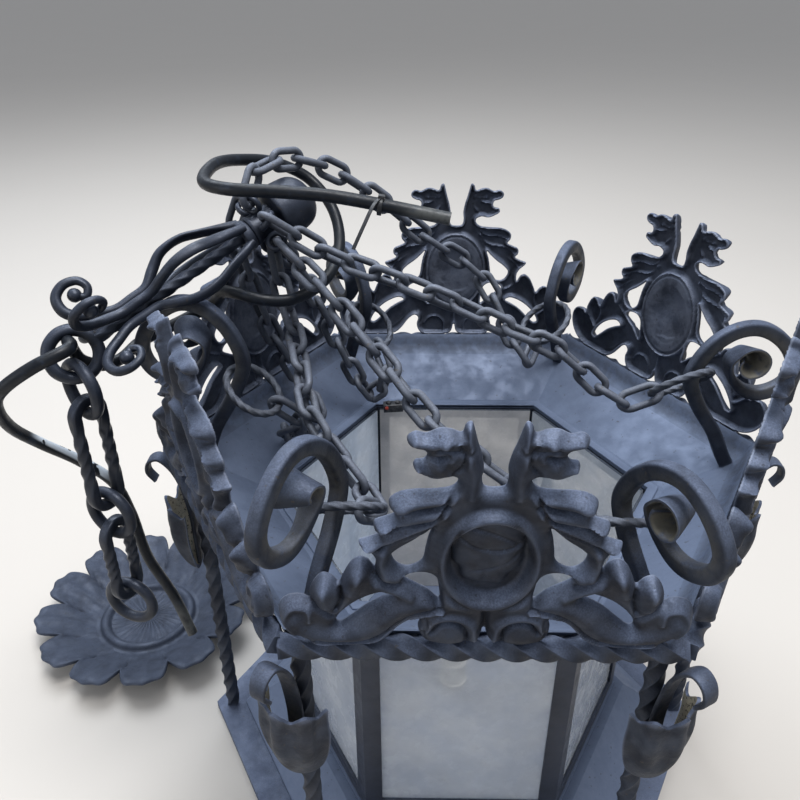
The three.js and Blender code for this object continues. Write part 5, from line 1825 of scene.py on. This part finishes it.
TIE_BLACK = plastic_finish("tie_black", (0.010, 0.011, 0.014))
BLOCK_RED = plastic_finish("block_red", (0.42, 0.05, 0.03))
TIE_MIDDLE = np.array([-70, -2.5, 560.8])
TIE_RADIUS = 6.2
TIE_TAIL = [(-4, -9, 4), (-12, -20, -10), (-19, -27, -24)]
tie_along = unit([44, -2, -7])
tie_side = unit(np.cross(tie_along, UP))
tie_up = np.cross(tie_side, tie_along)
tie_line = loop_line(TIE_MIDDLE, tie_side, tie_up, TIE_RADIUS, 40)
tie_loop = sweep(tie_line, rounded(1.2, 3.4, 0.4, 2), side=tie_along, closed=True)
head_line = np.array([TIE_MIDDLE + tie_side * s + tie_up * 6.6 for s in np.linspace(-3, 3, 5)])
tie_head = sweep(head_line, rounded(3.6, 5, 0.8, 2), side=tie_along)
tail_line = spline([TIE_MIDDLE + tie_up * 7, *(TIE_MIDDLE + np.array(TIE_TAIL))], 30)
tie_tail = sweep(tail_line, rounded(1.1, 3.0, 0.4, 2))
points, faces = joined(tie_loop, tie_head, tie_tail)
tie = piece("cable_tie", points, faces, TIE_BLACK)

BLOCK_MIDDLE = np.array([-65.5, 131, 309.2])
BLOCK_LENGTH = 20
BLOCK_SLANT = 0.12
POST_OFFSET = 4.6
POST_PROFILE = [(0, 0), (2.9, 0), (2.9, 1.6), (2.2, 2.2), (1.2, 1.8), (0, 1.8)]
RED_PROFILE = [(0, 0), (1.9, 0), (1.9, 1.0), (1.3, 1.4), (0, 1.4)]
RED_BASIS = np.array([[1, 0, 0], [0, 0, 1], [0, -1, 0]])


def on_block(along, height=0.0):
    return BLOCK_MIDDLE + [along, BLOCK_SLANT * along, height]


block_ends = np.linspace(-BLOCK_LENGTH / 2, BLOCK_LENGTH / 2, 7)
block_body = sweep(np.array([on_block(s) for s in block_ends]), rounded(9, 10, 1.2, 3))
posts = [lathe(POST_PROFILE, 20, on_block(s, 4.2)) for s in (-POST_OFFSET, POST_OFFSET)]
red = lathe(RED_PROFILE, 18, BLOCK_MIDDLE + [-6.5, -5.3, 1.5], RED_BASIS)
points, faces = joined(block_body, *posts, red)
block = piece("terminal_block", points, faces, TIE_BLACK)
block.data.materials.append(BLOCK_RED)
red_faces = len(red[1])
black_faces = len(faces) - red_faces
block.data.polygons.foreach_set("material_index", [0] * black_faces + [1] * red_faces)
for trim in (tie, block):
    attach(trim, "lantern")
print("tie faces:", len(tie.data.polygons), "block faces:", len(block.data.polygons))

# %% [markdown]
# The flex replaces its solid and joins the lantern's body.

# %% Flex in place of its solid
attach(flex, "lantern")
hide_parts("flex")
print("flex starts at", [round(float(v), 3) for v in in_scene(flex_line[0])])

# %% [markdown]
# A pale floor and broad, soft lights: one large light high in front, a cooler
# one from above and behind that gives the upward faces their blue grey sheen,
# and a weak fill from the left.

# %% Floor and lights
FLOOR_REACH = 60
FLOOR_TONE = (0.62, 0.575, 0.52)
LIT_HEIGHT = 0.35
LIGHTS = {
    "key": {"place": (0.5, -0.35, 2.9), "size": 1.3, "power": 66, "colour": (0.97, 0.98, 1.0)},
    "sky": {"place": (-0.7, 1.3, 2.6), "size": 2.0, "power": 58, "colour": (0.84, 0.91, 1.0)},
    "fill": {"place": (-2.2, -1.4, 1.2), "size": 1.8, "power": 12, "colour": (0.95, 0.97, 1.0)},
}
ROOM_COLOUR = (0.80, 0.86, 0.96)
ROOM_STRENGTH = 0.5


def plain_finish(name, tone):
    material, tree, shader = nodes_of(name)
    clouds = noise(tree, object_place(tree), 3)
    tree.links.new(mixed(tree, clouds, tone, tuple(c * 0.97 for c in tone)), shader.inputs["Base Color"])
    shader.inputs["Roughness"].default_value = 0.9
    return material


floor_mesh = bpy.data.meshes.new("floor")
floor_corners = [(x * FLOOR_REACH, y * FLOOR_REACH, 0) for x, y in ((-1, -1), (1, -1), (1, 1), (-1, 1))]
floor_mesh.from_pydata(floor_corners, [], [(0, 1, 2, 3)])
floor_mesh.materials.append(plain_finish("pale_floor", FLOOR_TONE))
floor = bpy.data.objects.new("floor", floor_mesh)
bpy.context.scene.collection.objects.link(floor)


def soft_light(name, aim, place, size, power, colour):
    """A round area light that looks at a point, in metres and watts."""
    data = bpy.data.lights.new(name, "AREA")
    data.shape = "DISK"
    data.size = size
    data.energy = power
    data.color = colour
    light = bpy.data.objects.new(name, data)
    light.location = place
    light.rotation_euler = (Vector(aim) - Vector(place)).to_track_quat("-Z", "Y").to_euler()
    bpy.context.scene.collection.objects.link(light)


for name, light in LIGHTS.items():
    soft_light(name, (AXIS.x, AXIS.y, LIT_HEIGHT), **light)

world = bpy.data.worlds.new("room")
world.use_nodes = True
bpy.context.scene.world = world
background = world.node_tree.nodes["Background"]
background.inputs["Color"].default_value = (*ROOM_COLOUR, 1)
background.inputs["Strength"].default_value = ROOM_STRENGTH
bpy.context.scene.view_settings.view_transform = "Standard"
print("lights:", list(LIGHTS))
